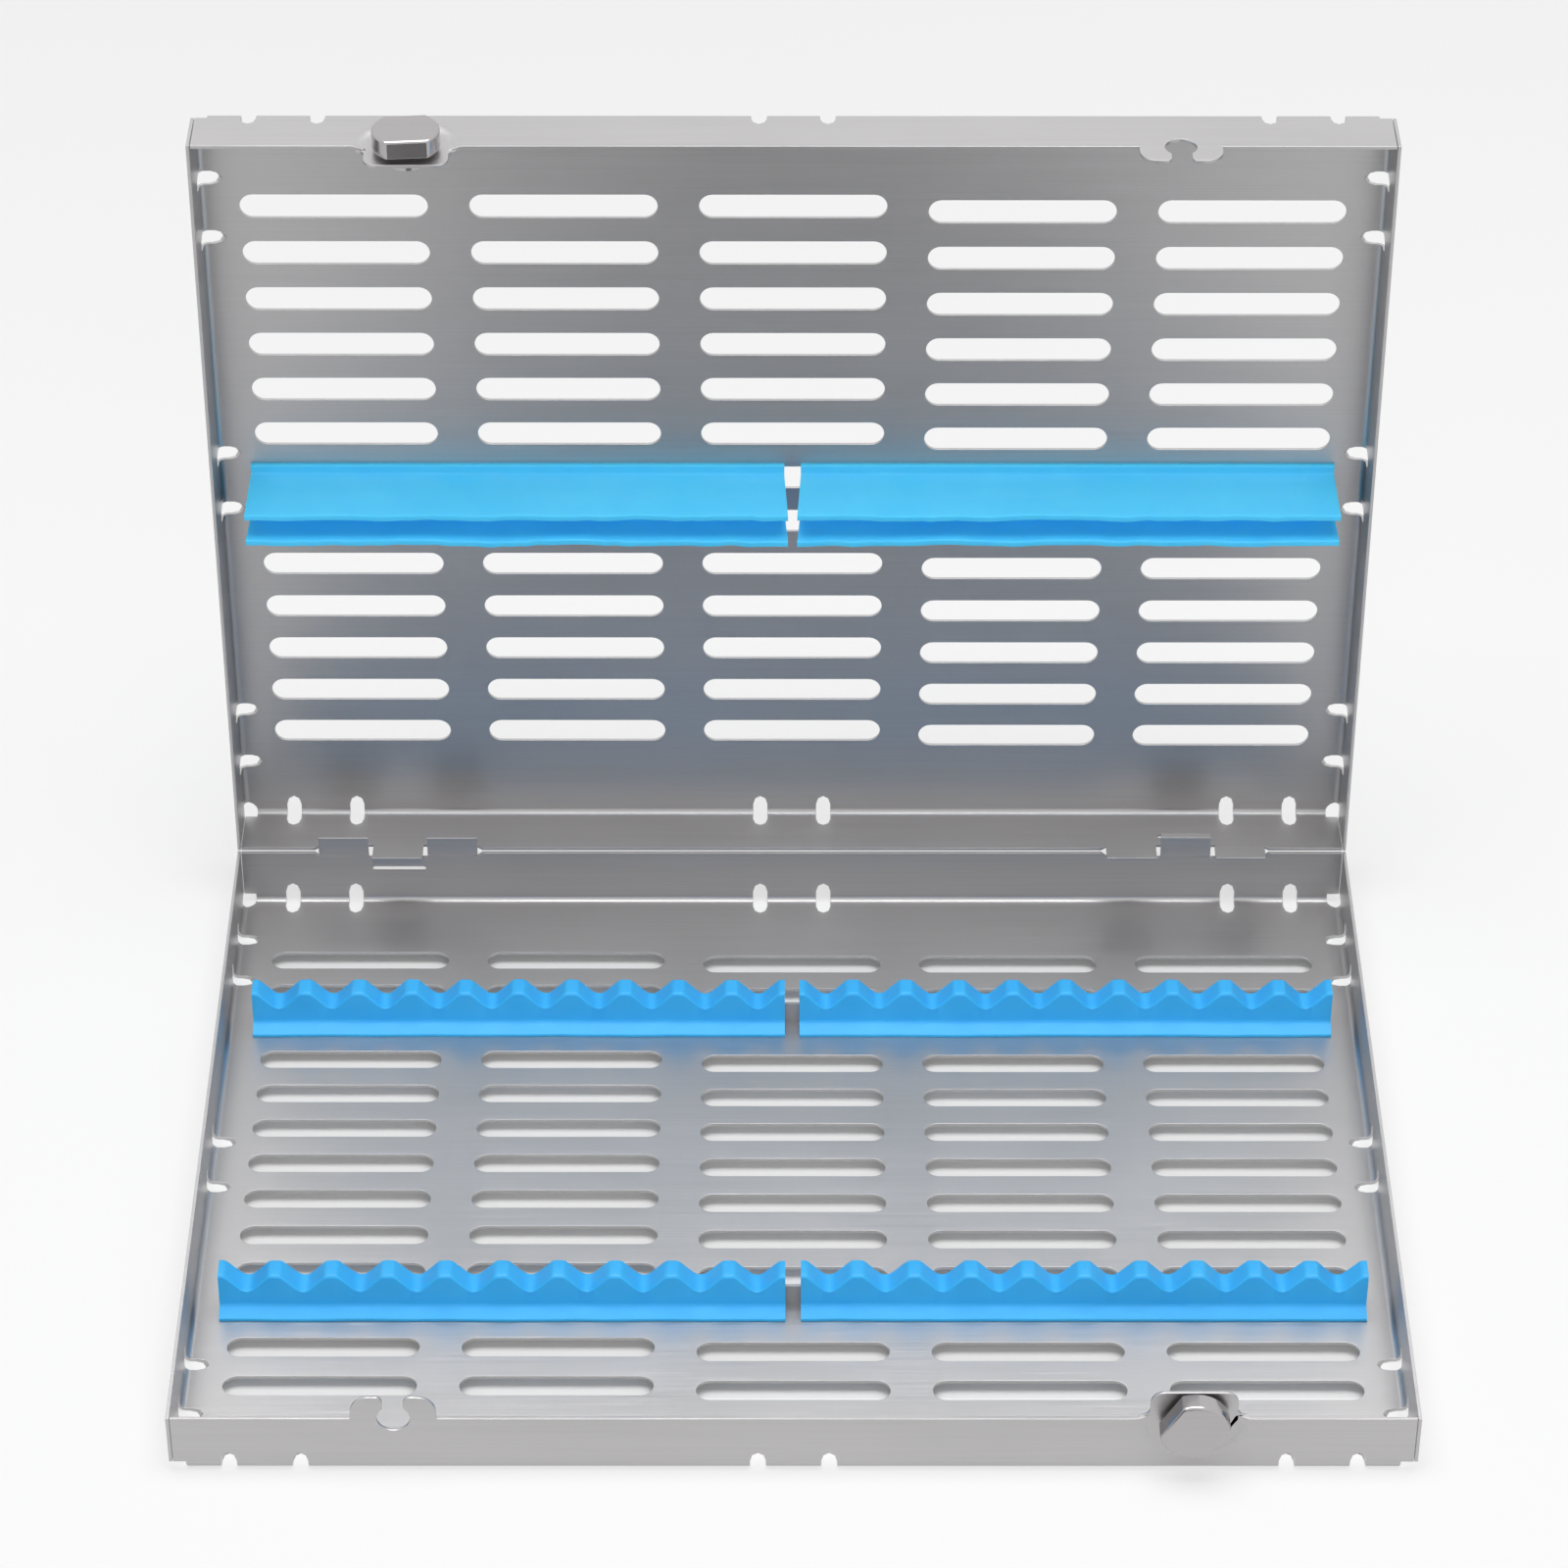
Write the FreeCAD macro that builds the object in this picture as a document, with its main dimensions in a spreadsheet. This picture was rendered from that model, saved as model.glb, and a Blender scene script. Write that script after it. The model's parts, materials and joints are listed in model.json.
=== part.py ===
import FreeCAD, Part
import os
from math import asin, cos, pi, sin

import Sketcher
from FreeCAD import Placement, Rotation, Vector

# Instrument cassette: two matching folded trays of perforated stainless sheet.
# The base lies on the table, the lid hangs on its rear wall and stands open.
# Origin: on the base's underside, in the middle of the solid strip of floor behind
# the middle row of slots. X to the right, Y to the rear, Z up.
# Every tray is drawn in its own frame, floor down, with the latch wall at -Y.

DIMENSIONS = {
    "width": 280.0,
    "depth": 203.0,
    "half_height": 15.85,
    "parting_gap": 0.3,
    "sheet": 0.8,
    "bend_radius": 1.4,
    "corner_gap": 0.15,
    "corner_relief": 2.9,
    "open_angle": 91.5,
    "slot_length": 44.3,
    "slot_width": 6.2,
    "column_pitch": 54.05,
    "row_pitch": 12.65,
    "row_count": 13,
    "middle_row_offset": -0.95,
    "column_stagger": 1.45,
    "bend_slot_width": 3.6,
    "bend_slot_reach": 5.3,
    "bend_slot_spacing": 16.0,
    "front_pair_pitch": 118.6,
    "side_pair_pitch": 76.5,
    "hinge_offset": 99.3,
    "recess_length": 42.4,
    "recess_depth": 1.4,
    "recess_chamfer": 1.8,
    "tab_width": 12.6,
    "tab_spacing": 27.4,
    "tab_height": 5.6,
    "tab_clearance": 0.25,
    "joggle_rise": 1.3,
    "hinge_slot_length": 13.6,
    "hinge_slot_width": 1.5,
    "hinge_slot_depth": 5.1,
    "latch_offset": 89.2,
    "ear_width": 19.2,
    "ear_height": 6.5,
    "ear_corner": 4.5,
    "neck_width": 4.7,
    "neck_corner": 1.6,
    "keyhole_diameter": 7.4,
    "dish_radius": 9.9,
    "dish_rim": 2.6,
    "dish_clearance": 0.25,
    "tongue_width": 19.6,
    "tongue_height": 7.0,
    "tongue_corner": 3.2,
    "tongue_foot_round": 2.0,
    "knob_diameter": 15.8,
    "knob_across": 12.6,
    "knob_thickness": 4.6,
    "knob_edge": 0.4,
    "knob_standoff": 0.2,
    "shank_diameter": 7.2,
    "shank_across": 4.4,
    "rivet_diameter": 4.6,
    "rivet_head": 6.2,
    "rivet_head_height": 0.6,
    "base_knob_angle": 30.0,
    "lid_knob_angle": 85.0,
    "washer_diameter": 10.8,
    "washer_sheet": 0.4,
    "washer_rise": 0.5,
    "retainer_diameter": 9.6,
    "retainer_thickness": 0.8,
    "play": 0.1,
    "rear_rail_row": 3,
    "front_rail_row": 11,
    "bar_height": 5.6,
    "bar_foot": 5.6,
    "bar_end_inset": 5.6,
    "rail_length": 131.0,
    "rail_gap": 3.6,
    "rail_thickness": 6.0,
    "rail_crest": 11.1,
    "rail_valley": 6.3,
    "rail_crest_flat": 2.8,
    "rail_valley_radius": 1.9,
    "rail_waves": 10,
    "rail_foot_flare": 3.3,
    "rail_foot_height": 2.3,
    "strip_length": 129.7,
    "strip_gap": 4.0,
    "strip_flange": 21.0,
    "strip_flange_thickness": 1.2,
    "strip_root": 16.2,
    "strip_height": 14.2,
    "strip_tip_spread": 8.8,
    "strip_lip": 1.5,
    "strip_valley": 3.4,
    "claw_length": 16.0,
    "claw_thickness": 2.6,
    "claw_hook": 1.2,
    "claw_head": 1.0,
    "pair_count": 2,
}

doc = FreeCAD.newDocument("InstrumentCassette")
sheet = doc.addObject("Spreadsheet::Sheet", "Dims")
for row, (word, number) in enumerate(DIMENSIONS.items(), start=1):
    sheet.set(f"A{row}", word.replace("_", " "))
    sheet.set(f"B{row}", str(number))
    sheet.setAlias(f"B{row}", word)
doc.recompute()


def dim(word):
    """The number that the sheet holds under an alias."""
    return float(sheet.get(word))


def value(expression):
    """The present value of an expression on the sheet."""
    return float(doc.Dims.evalExpression(expression))


# Places that several features share, as expressions on the sheet.
EDGE = "Dims.half_height"
HALF_WIDTH = "Dims.width / 2"
HALF_DEPTH = "Dims.depth / 2"
BEND_OUTSIDE = "(Dims.bend_radius + Dims.sheet)"
WALL_SPAN = "(Dims.width - 2 * Dims.sheet - 2 * Dims.corner_gap)"
JOGGLE = "(Dims.sheet + Dims.tab_clearance)"
DISH_DEPTH = "(Dims.sheet + Dims.dish_clearance)"
RAIL_CENTRE = "(Dims.rail_length + Dims.rail_gap) / 2"
STRIP_CENTRE = "(Dims.strip_length + Dims.strip_gap) / 2"

# Chords that stand for the half circle at a slot's end.
LONG_SLOT_CHORDS = 5
SHORT_SLOT_CHORDS = 4


def row_place(row):
    """Y of a slot row's middle, counted from the rear, in the columns right of the stagger."""
    return f"(Dims.middle_row_offset + ((Dims.row_count + 1) / 2 - {row}) * Dims.row_pitch)"


# Sketching helpers. Every size they draw is a constraint bound to the sheet.

def add_body(label):
    body = doc.addObject("PartDesign::Body", label)
    body.Label = label
    return body


def origin_plane(body, role):
    return next(item for item in body.Origin.OriginFeatures if item.Role == role)


def add_sketch(body, name, role, offset=("0", "0", "0"), turn=None):
    """A sketch on an origin plane, moved by three expressions in the plane's own frame."""
    sketch = body.newObject("Sketcher::SketchObject", name)
    sketch.AttachmentSupport = [(origin_plane(body, role), "")]
    sketch.MapMode = "FlatFace"
    if turn:
        sketch.AttachmentOffset = Placement(Vector(), turn)
    for axis, expression in zip("xyz", offset):
        sketch.setExpression(f".AttachmentOffset.Base.{axis}", expression)
    return sketch


def constrain(sketch, rules):
    """Add constraints in one step: (kind, references) or (kind, references, expression)."""
    made = []
    for kind, references, *driver in rules:
        numbers = [value(expression) for expression in driver]
        made.append(Sketcher.Constraint(kind, *references, *numbers))
    indices = sketch.addConstraint(made)
    for index, (_, _, *driver) in zip(indices, rules):
        for expression in driver:
            sketch.setExpression(f"Constraints[{index}]", expression)


def pinned(geometry, point, x, y):
    """Rules that hold a point of a curve at a place."""
    return [("DistanceX", (-1, 1, geometry, point), x),
            ("DistanceY", (-1, 1, geometry, point), y)]


def draw_circle(sketch, diameter, x="0", y="0"):
    centre = Vector(value(x), value(y), 0)
    circle = Part.Circle(centre, Vector(0, 0, 1), value(diameter) / 2)
    index = sketch.addGeometry(circle)
    constrain(sketch, pinned(index, 3, x, y) + [("Diameter", (index,), diameter)])


def draw_slot(sketch, x, y, length, width, chords):
    """An oblong along the sketch's X axis, with round ends drawn as chords.

    The trays repeat their slots over a hundred times, so each end has few faces.
    """
    corners = []
    for way in ("+", "-"):
        for step in range(chords + 1):
            angle = 180 / chords * step - 90
            corners.append((
                f"{x} {way} (({length} - {width}) / 2 + {width} / 2 * cos({angle} deg))",
                f"{y} {way} {width} / 2 * sin({angle} deg)"))
    draw_outline(sketch, corners)


def draw_outline(sketch, corners):
    """A closed outline through corners (x, y) or (x, y, radius), given as expressions.

    A rounded corner stands between two lines that run along the axes.
    """
    count = len(corners)
    points = [Vector(value(corner[0]), value(corner[1]), 0) for corner in corners]
    radii = [value(corner[2]) if len(corner) > 2 else 0.0 for corner in corners]
    ways = [(points[(i + 1) % count] - points[i]).normalize() for i in range(count)]
    level = [abs(way.y) < 1e-9 for way in ways]
    upright = [abs(way.x) < 1e-9 for way in ways]
    lines = sketch.addGeometry([
        Part.LineSegment(points[i] + ways[i] * radii[i],
                         points[(i + 1) % count] - ways[i] * radii[(i + 1) % count])
        for i in range(count)])
    rules = []
    for i in range(count):
        x, y = corners[i][:2]
        before = i - 1
        if level[i]:
            rules += [("Horizontal", (lines[i],)), ("DistanceY", (-1, 1, lines[i], 1), y)]
        if upright[i]:
            rules += [("Vertical", (lines[i],)), ("DistanceX", (-1, 1, lines[i], 1), x)]
        if radii[i]:
            rules += round_corner(sketch, lines[before], lines[i], points[i], radii[i],
                                  corners[i][2], ways[before], ways[i])
            continue
        rules.append(("Coincident", (lines[before], 2, lines[i], 1)))
        if not (upright[i] or upright[before]):
            rules.append(("DistanceX", (-1, 1, lines[i], 1), x))
        if not (level[i] or level[before]):
            rules.append(("DistanceY", (-1, 1, lines[i], 1), y))
    constrain(sketch, rules)


def round_corner(sketch, before, after, corner, radius, expression, coming, going):
    """Draw an arc in the corner between two lines, and return the rules that hold it."""
    centre = corner - coming * radius + going * radius
    start = corner - coming * radius - centre
    left_turn = coming.cross(going).z > 0
    first = start if left_turn else corner + going * radius - centre
    from_angle = Vector(1, 0, 0).getAngle(first) * (1 if first.y >= 0 else -1)
    circle = Part.Circle(centre, Vector(0, 0, 1), radius)
    arc = sketch.addGeometry(Part.ArcOfCircle(circle, from_angle, from_angle + pi / 2))
    entry, leave = (1, 2) if left_turn else (2, 1)
    return [("Tangent", (before, 2, arc, entry)),
            ("Tangent", (arc, leave, after, 1)),
            ("Radius", (arc,), expression)]


# Feature helpers. Each sets the tip of the body to what it added.

def extrude(body, kind, name, sketch, length, symmetric=True, reverse=False):
    feature = body.newObject(f"PartDesign::{kind}", name)
    feature.Profile = sketch
    feature.SideType = "Symmetric" if symmetric else "One side"
    feature.Reversed = reverse
    feature.setExpression("Length", length)
    body.Tip = feature
    return feature


def pad(body, name, sketch, length, symmetric=True, reverse=False):
    return extrude(body, "Pad", name, sketch, length, symmetric, reverse)


def pocket(body, name, sketch, length, symmetric=True, reverse=False):
    return extrude(body, "Pocket", name, sketch, length, symmetric, reverse)


def turn_profile(body, kind, name, sketch, angle=360):
    """A Revolution or a Groove about the sketch's own X axis, even about its plane."""
    feature = body.newObject(f"PartDesign::{kind}", name)
    feature.Profile = sketch
    feature.ReferenceAxis = (sketch, ["H_Axis"])
    feature.Angle = angle
    feature.Midplane = True
    body.Tip = feature
    return feature


def repeat(body, name, feature, role, pitch, count, backwards=False):
    pattern = body.newObject("PartDesign::LinearPattern", name)
    pattern.Originals = [feature]
    pattern.Direction = (origin_plane(body, role), [""])
    pattern.Mode = "Spacing"
    pattern.Reversed = backwards
    pattern.setExpression("Offset", pitch)
    pattern.setExpression("Occurrences", count)
    body.Tip = pattern
    return pattern


def mirror(body, name, feature, role):
    copy = body.newObject("PartDesign::Mirrored", name)
    copy.Originals = [feature]
    copy.MirrorPlane = (origin_plane(body, role), [""])
    body.Tip = copy
    return copy


# The folded tray

def add_folded_sheet(body):
    """Floor with four walls, bent up from one sheet and open at the corners."""
    front_rear = add_sketch(body, "FrontRearProfile", "YZ_Plane")
    draw_outline(front_rear, tray_profile(HALF_DEPTH))
    pad(body, "FloorAndLatchWalls", front_rear, WALL_SPAN)

    outside = add_sketch(body, "SideBendOutside", "XZ_Plane")
    low = "-Dims.sheet"
    for side in ("", "-"):
        draw_outline(outside, [
            (f"{side}({HALF_WIDTH} - {BEND_OUTSIDE})", low),
            (f"{side}({HALF_WIDTH} + Dims.sheet)", low),
            (f"{side}({HALF_WIDTH} + Dims.sheet)", f"{BEND_OUTSIDE}"),
            (f"{side}({HALF_WIDTH} - {BEND_OUTSIDE})", f"{BEND_OUTSIDE}")])
    pocket(body, "SideBendRoom", outside, "Dims.depth - 2 * Dims.sheet")

    sides = add_sketch(body, "SideProfile", "XZ_Plane")
    for side in ("", "-"):
        draw_bent_side(sides, side)
    pad(body, "SideWalls", sides, "Dims.depth")

    relief = add_sketch(body, "CornerRelief", "XY_Plane")
    for x_side in ("", "-"):
        for y_side in ("", "-"):
            draw_circle(relief, "2 * Dims.corner_relief",
                        f"{x_side}({HALF_WIDTH} - {BEND_OUTSIDE} / 2)",
                        f"{y_side}({HALF_DEPTH} - {BEND_OUTSIDE} / 2)")
    pocket(body, "CornerHoles", relief, f"2 * {BEND_OUTSIDE} + Dims.sheet")


def tray_profile(half):
    """Corners of a U of sheet, open at the top, across a half width."""
    return [
        (f"-{half}", EDGE),
        (f"-{half}", "0", BEND_OUTSIDE),
        (half, "0", BEND_OUTSIDE),
        (half, EDGE),
        (f"{half} - Dims.sheet", EDGE),
        (f"{half} - Dims.sheet", "Dims.sheet", "Dims.bend_radius"),
        (f"-({half} - Dims.sheet)", "Dims.sheet", "Dims.bend_radius"),
        (f"-({half} - Dims.sheet)", EDGE)]


def draw_bent_side(sketch, side):
    """An L of sheet whose foot joins the floor where the side bend starts."""
    foot = f"{side}({HALF_WIDTH} - {BEND_OUTSIDE} - Dims.sheet)"
    draw_outline(sketch, [
        (foot, "0"),
        (f"{side}{HALF_WIDTH}", "0", BEND_OUTSIDE),
        (f"{side}{HALF_WIDTH}", EDGE),
        (f"{side}({HALF_WIDTH} - Dims.sheet)", EDGE),
        (f"{side}({HALF_WIDTH} - Dims.sheet)", "Dims.sheet", "Dims.bend_radius"),
        (foot, "Dims.sheet")])


def punch_rows(body, name, first_row, last_row):
    """Rows of five slots, the two left columns set back by the stagger."""
    sketch = add_sketch(body, f"{name}Row", "XY_Plane", ("0", row_place(first_row), "0"))
    for column in (-2, -1, 0, 1, 2):
        shift = "Dims.column_stagger" if column < 0 else "0"
        draw_slot(sketch, f"{column} * Dims.column_pitch", shift,
                  "Dims.slot_length", "Dims.slot_width", LONG_SLOT_CHORDS)
    row = pocket(body, f"{name}Slots", sketch, "4 * Dims.sheet")
    count = str(last_row - first_row + 1)
    repeat(body, f"{name}Rows", row, "Y_Axis", "Dims.row_pitch", count, backwards=True)


def punch_bend_slots(body):
    """Short slots that cross the bends in pairs, three pairs on each wall."""
    half_right_up = Rotation(Vector(1, 0, 0), 45)
    upright = Rotation(Vector(0, 0, 1), 90)
    rear = half_right_up.multiply(upright)
    side = Rotation(Vector(0, 0, 1), -90).multiply(rear)
    for name, place, turn, pitch, far_name, plane in (
            ("Rear", ("0", HALF_DEPTH, "0"), rear, "Dims.front_pair_pitch", "Front", "XZ_Plane"),
            ("Right", (HALF_WIDTH, "0", "0"), side, "Dims.side_pair_pitch", "Left", "YZ_Plane")):
        sketch = add_sketch(body, f"{name}BendSlots", "XY_Plane", place, turn)
        for pair in (-1, 0, 1):
            for way in ("-", "+"):
                draw_slot(sketch, "0", f"{pair} * {pitch} {way} Dims.bend_slot_spacing / 2",
                          "sqrt(2) * Dims.bend_slot_reach", "Dims.bend_slot_width",
                          SHORT_SLOT_CHORDS)
        cut = pocket(body, f"{name}BendCuts", sketch, "4 * Dims.bend_slot_reach")
        mirror(body, f"{far_name}BendCuts", cut, plane)


# Hinge and latch of one tray

def add_hinge(body):
    """Two recesses in the rear wall: guide tabs and a slot at -X, a hooked tab at +X."""
    on_rear_wall = f"-({HALF_DEPTH} - Dims.sheet / 2)"
    through_wall = "2 * Dims.sheet"
    recess = add_sketch(body, "HingeRecess", "XZ_Plane", ("0", EDGE, on_rear_wall))
    for side in ("-", ""):
        middle = f"{side}Dims.hinge_offset"
        draw_outline(recess, [
            (f"{middle} - Dims.recess_length / 2", "Dims.sheet"),
            (f"{middle} - Dims.recess_length / 2", "0"),
            (f"{middle} - Dims.recess_length / 2 + Dims.recess_chamfer", "-Dims.recess_depth"),
            (f"{middle} + Dims.recess_length / 2 - Dims.recess_chamfer", "-Dims.recess_depth"),
            (f"{middle} + Dims.recess_length / 2", "0"),
            (f"{middle} + Dims.recess_length / 2", "Dims.sheet")])
    pocket(body, "HingeRecesses", recess, through_wall)

    slot = add_sketch(body, "HookSlot", "XZ_Plane",
                      ("-Dims.hinge_offset", f"{EDGE} - Dims.hinge_slot_depth", on_rear_wall))
    draw_slot(slot, "0", "0", "Dims.hinge_slot_length", "Dims.hinge_slot_width",
              SHORT_SLOT_CHORDS)
    pocket(body, "HookSlotCut", slot, through_wall)

    guide = add_sketch(body, "GuideTabProfile", "YZ_Plane",
                       (HALF_DEPTH, EDGE, "-Dims.hinge_offset - Dims.tab_spacing / 2"))
    draw_outline(guide, joggled_root() + [
        (f"-{JOGGLE}", "Dims.tab_height"),
        (f"-{JOGGLE} - Dims.sheet", "Dims.tab_height")] + joggled_back())
    first = pad(body, "GuideTab", guide, "Dims.tab_width")
    repeat(body, "GuideTabs", first, "X_Axis", "Dims.tab_spacing", "Dims.pair_count")

    hook = add_sketch(body, "HookTabProfile", "YZ_Plane",
                      (HALF_DEPTH, EDGE, "Dims.hinge_offset"))
    lip_low = "(Dims.parting_gap + Dims.hinge_slot_depth - Dims.sheet / 2)"
    lip_high = "(Dims.parting_gap + Dims.hinge_slot_depth + Dims.sheet / 2)"
    lip_end = "Dims.tab_clearance"
    draw_outline(hook, joggled_root() + [
        (f"-{JOGGLE}", lip_low),
        (lip_end, lip_low),
        (lip_end, lip_high),
        (f"-{JOGGLE} - Dims.sheet", lip_high)] + joggled_back())
    pad(body, "HookTab", hook, "Dims.tab_width")


def joggled_root():
    """Outer side of a tab that steps inward just above the recess."""
    return [
        ("0", "-Dims.recess_depth - Dims.sheet"),
        ("0", "-Dims.recess_depth"),
        (f"-{JOGGLE}", "-Dims.recess_depth + Dims.joggle_rise")]


def joggled_back():
    """Inner side of the same tab, from the step down into the wall."""
    return [
        (f"-{JOGGLE} - Dims.sheet", "-Dims.recess_depth + Dims.joggle_rise + Dims.sheet / 4"),
        ("-Dims.sheet", "-Dims.recess_depth + Dims.sheet / 4"),
        ("-Dims.sheet", "-Dims.recess_depth - Dims.sheet")]


def add_keyhole_ear(body):
    """Two rounded lobes above the latch wall at -X, round a keyhole on the parting line."""
    on_face = ("-Dims.latch_offset", EDGE, HALF_DEPTH)
    ear = add_sketch(body, "EarOutline", "XZ_Plane", on_face)
    half = "Dims.ear_width / 2"
    neck = "Dims.neck_width / 2"
    top = "Dims.ear_height"
    foot = "-Dims.sheet"
    draw_outline(ear, [
        (f"-{half}", foot), (half, foot),
        (half, top, "Dims.ear_corner"), (neck, top, "Dims.neck_corner"),
        (neck, "0"), (f"-{neck}", "0"),
        (f"-{neck}", top, "Dims.neck_corner"), (f"-{half}", top, "Dims.ear_corner")])
    pad(body, "Ear", ear, "Dims.sheet", symmetric=False, reverse=True)
    keyhole = add_sketch(body, "KeyholeCircle", "XZ_Plane", on_face)
    draw_circle(keyhole, "Dims.keyhole_diameter", "0", "Dims.parting_gap / 2")
    pocket(body, "Keyhole", keyhole, "4 * Dims.sheet")


def add_latch_dish(body):
    """A pressed dish at +X with a tongue above it, which carries the knob behind the other ear."""
    at_edge = (f"-{HALF_DEPTH}", EDGE, "Dims.latch_offset")
    rim = "(Dims.dish_radius + Dims.dish_rim)"
    boss = add_sketch(body, "DishBack", "YZ_Plane", at_edge)
    draw_outline(boss, [
        ("Dims.sheet / 2", "0"),
        ("Dims.sheet / 2", f"-{rim} - Dims.sheet"),
        ("Dims.sheet", f"-{rim} - Dims.sheet / 4"),
        (f"{DISH_DEPTH} + Dims.sheet", "-Dims.dish_radius - Dims.sheet / 4"),
        (f"{DISH_DEPTH} + Dims.sheet", "0")])
    turn_profile(body, "Revolution", "DishBackBoss", boss, 180)
    hollow = add_sketch(body, "DishFace", "YZ_Plane", at_edge)
    draw_outline(hollow, [
        ("-Dims.sheet", "0"),
        ("-Dims.sheet", f"-{rim}"),
        ("0", f"-{rim}"),
        (DISH_DEPTH, "-Dims.dish_radius"),
        (DISH_DEPTH, "0")])
    turn_profile(body, "Groove", "DishHollow", hollow, 180)

    tongue = add_sketch(body, "TongueOutline", "XZ_Plane",
                        ("Dims.latch_offset", EDGE, f"{HALF_DEPTH} - {DISH_DEPTH}"))
    half = "Dims.tongue_width / 2"
    foot = f"({half} + Dims.tongue_foot_round + Dims.sheet / 4)"
    draw_outline(tongue, [
        (f"-{foot}", "-Dims.sheet"),
        (foot, "-Dims.sheet"),
        (foot, "0"),
        (half, "0", "Dims.tongue_foot_round"),
        (half, "Dims.tongue_height", "Dims.tongue_corner"),
        (f"-{half}", "Dims.tongue_height", "Dims.tongue_corner"),
        (f"-{half}", "0", "Dims.tongue_foot_round"),
        (f"-{foot}", "0")])
    pad(body, "Tongue", tongue, "Dims.sheet", symmetric=False, reverse=True)
    hole = add_sketch(body, "ShankHole", "XZ_Plane",
                      ("Dims.latch_offset", EDGE, HALF_DEPTH))
    draw_circle(hole, "Dims.shank_diameter + 2 * Dims.play", "0", "Dims.parting_gap / 2")
    pocket(body, "ShankHoleCut", hole, "8 * Dims.sheet")


def make_tray(label, punched_rows):
    body = add_body(label)
    add_folded_sheet(body)
    add_hinge(body)
    add_keyhole_ear(body)
    add_latch_dish(body)
    punch_bend_slots(body)
    for number, (first, last) in enumerate(punched_rows, start=1):
        punch_rows(body, f"Group{number}", first, last)
    return body


# Latch knob, its spring washer and its retainer.
# They share a frame on the wall's outer face, with the shank's axis along Y.

PLATE_FRONT = DISH_DEPTH
PLATE_BACK = f"({DISH_DEPTH} + Dims.sheet)"
WASHER_BACK = f"({PLATE_BACK} + Dims.play + Dims.washer_sheet + Dims.washer_rise)"
RETAINER_FRONT = f"({WASHER_BACK} + Dims.play)"
RETAINER_BACK = f"({RETAINER_FRONT} + Dims.retainer_thickness)"


def make_knob(label):
    """A flatted disc on a shank that is flatted in front of the plate and riveted behind."""
    body = add_body(label)
    head = add_sketch(body, "HeadOutline", "XZ_Plane", ("0", "0", "Dims.knob_standoff"))
    draw_circle(head, "Dims.knob_diameter")
    pad(body, "Head", head, "Dims.knob_thickness", symmetric=False)
    flats = add_sketch(body, "HeadFlats", "XZ_Plane", ("0", "0", "Dims.knob_standoff"))
    for side in ("", "-"):
        draw_outline(flats, [
            (f"{side}Dims.knob_across / 2", "-Dims.knob_diameter"),
            (f"{side}Dims.knob_diameter", "-Dims.knob_diameter"),
            (f"{side}Dims.knob_diameter", "Dims.knob_diameter"),
            (f"{side}Dims.knob_across / 2", "Dims.knob_diameter")])
    pocket(body, "HeadFlatCuts", flats, "2 * Dims.knob_thickness + Dims.sheet")
    edge = body.newObject("PartDesign::Chamfer", "HeadEdge")
    body.Tip = edge
    doc.recompute()
    front = -value("Dims.knob_standoff + Dims.knob_thickness")
    solid = body.Tip.BaseFeature
    rim = [f"Edge{i}" for i, curve in enumerate(solid.Shape.Edges, start=1)
           if abs(curve.BoundBox.YMin - front) < 1e-4 and curve.BoundBox.YLength < 1e-4]
    edge.Base = (solid, rim)
    edge.setExpression("Size", "Dims.knob_edge")

    shank = add_sketch(body, "ShankProfile", "XY_Plane", turn=Rotation(Vector(0, 0, 1), 90))
    root = "-Dims.knob_standoff - Dims.sheet"
    draw_outline(shank, [
        (root, "0"),
        (root, "Dims.shank_diameter / 2"),
        (f"{RETAINER_FRONT} - Dims.play / 2", "Dims.shank_diameter / 2"),
        (f"{RETAINER_FRONT} - Dims.play / 2", "Dims.rivet_diameter / 2"),
        (RETAINER_BACK, "Dims.rivet_diameter / 2"),
        (RETAINER_BACK, "Dims.rivet_head / 2"),
        (f"{RETAINER_BACK} + Dims.rivet_head_height", "Dims.rivet_diameter / 2"),
        (f"{RETAINER_BACK} + Dims.rivet_head_height", "0")])
    turn_profile(body, "Revolution", "Shank", shank)
    slim = add_sketch(body, "ShankFlats", "XY_Plane")
    for side in ("", "-"):
        draw_outline(slim, [
            (f"{side}Dims.shank_across / 2", "-Dims.knob_standoff"),
            (f"{side}Dims.shank_diameter", "-Dims.knob_standoff"),
            (f"{side}Dims.shank_diameter", f"{PLATE_FRONT} - Dims.play"),
            (f"{side}Dims.shank_across / 2", f"{PLATE_FRONT} - Dims.play")])
    pocket(body, "ShankFlatCuts", slim, "2 * Dims.shank_diameter")
    return body


def make_washer(label):
    """A coned spring washer between the plate and the retainer."""
    body = add_body(label)
    profile = add_sketch(body, "ConeProfile", "XY_Plane", turn=Rotation(Vector(0, 0, 1), 90))
    wide = f"({PLATE_BACK} + Dims.play)"
    inner = "Dims.shank_diameter / 2 + 2 * Dims.play"
    outer = "Dims.washer_diameter / 2"
    draw_outline(profile, [
        (f"{wide} + Dims.washer_rise", inner),
        (wide, outer),
        (f"{wide} + Dims.washer_sheet", outer),
        (f"{wide} + Dims.washer_rise + Dims.washer_sheet", inner)])
    turn_profile(body, "Revolution", "Cone", profile)
    return body


def make_retainer(label):
    """The disc that the shank's end is riveted over."""
    body = add_body(label)
    disc = add_sketch(body, "DiscOutline", "XZ_Plane", ("0", "0", f"-{RETAINER_FRONT}"))
    draw_circle(disc, "Dims.retainer_diameter")
    draw_circle(disc, "Dims.rivet_diameter")
    pad(body, "Disc", disc, "Dims.retainer_thickness", symmetric=False, reverse=True)
    return body


# Base rails: a steel angle on the floor under two waved silicone strips

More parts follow.
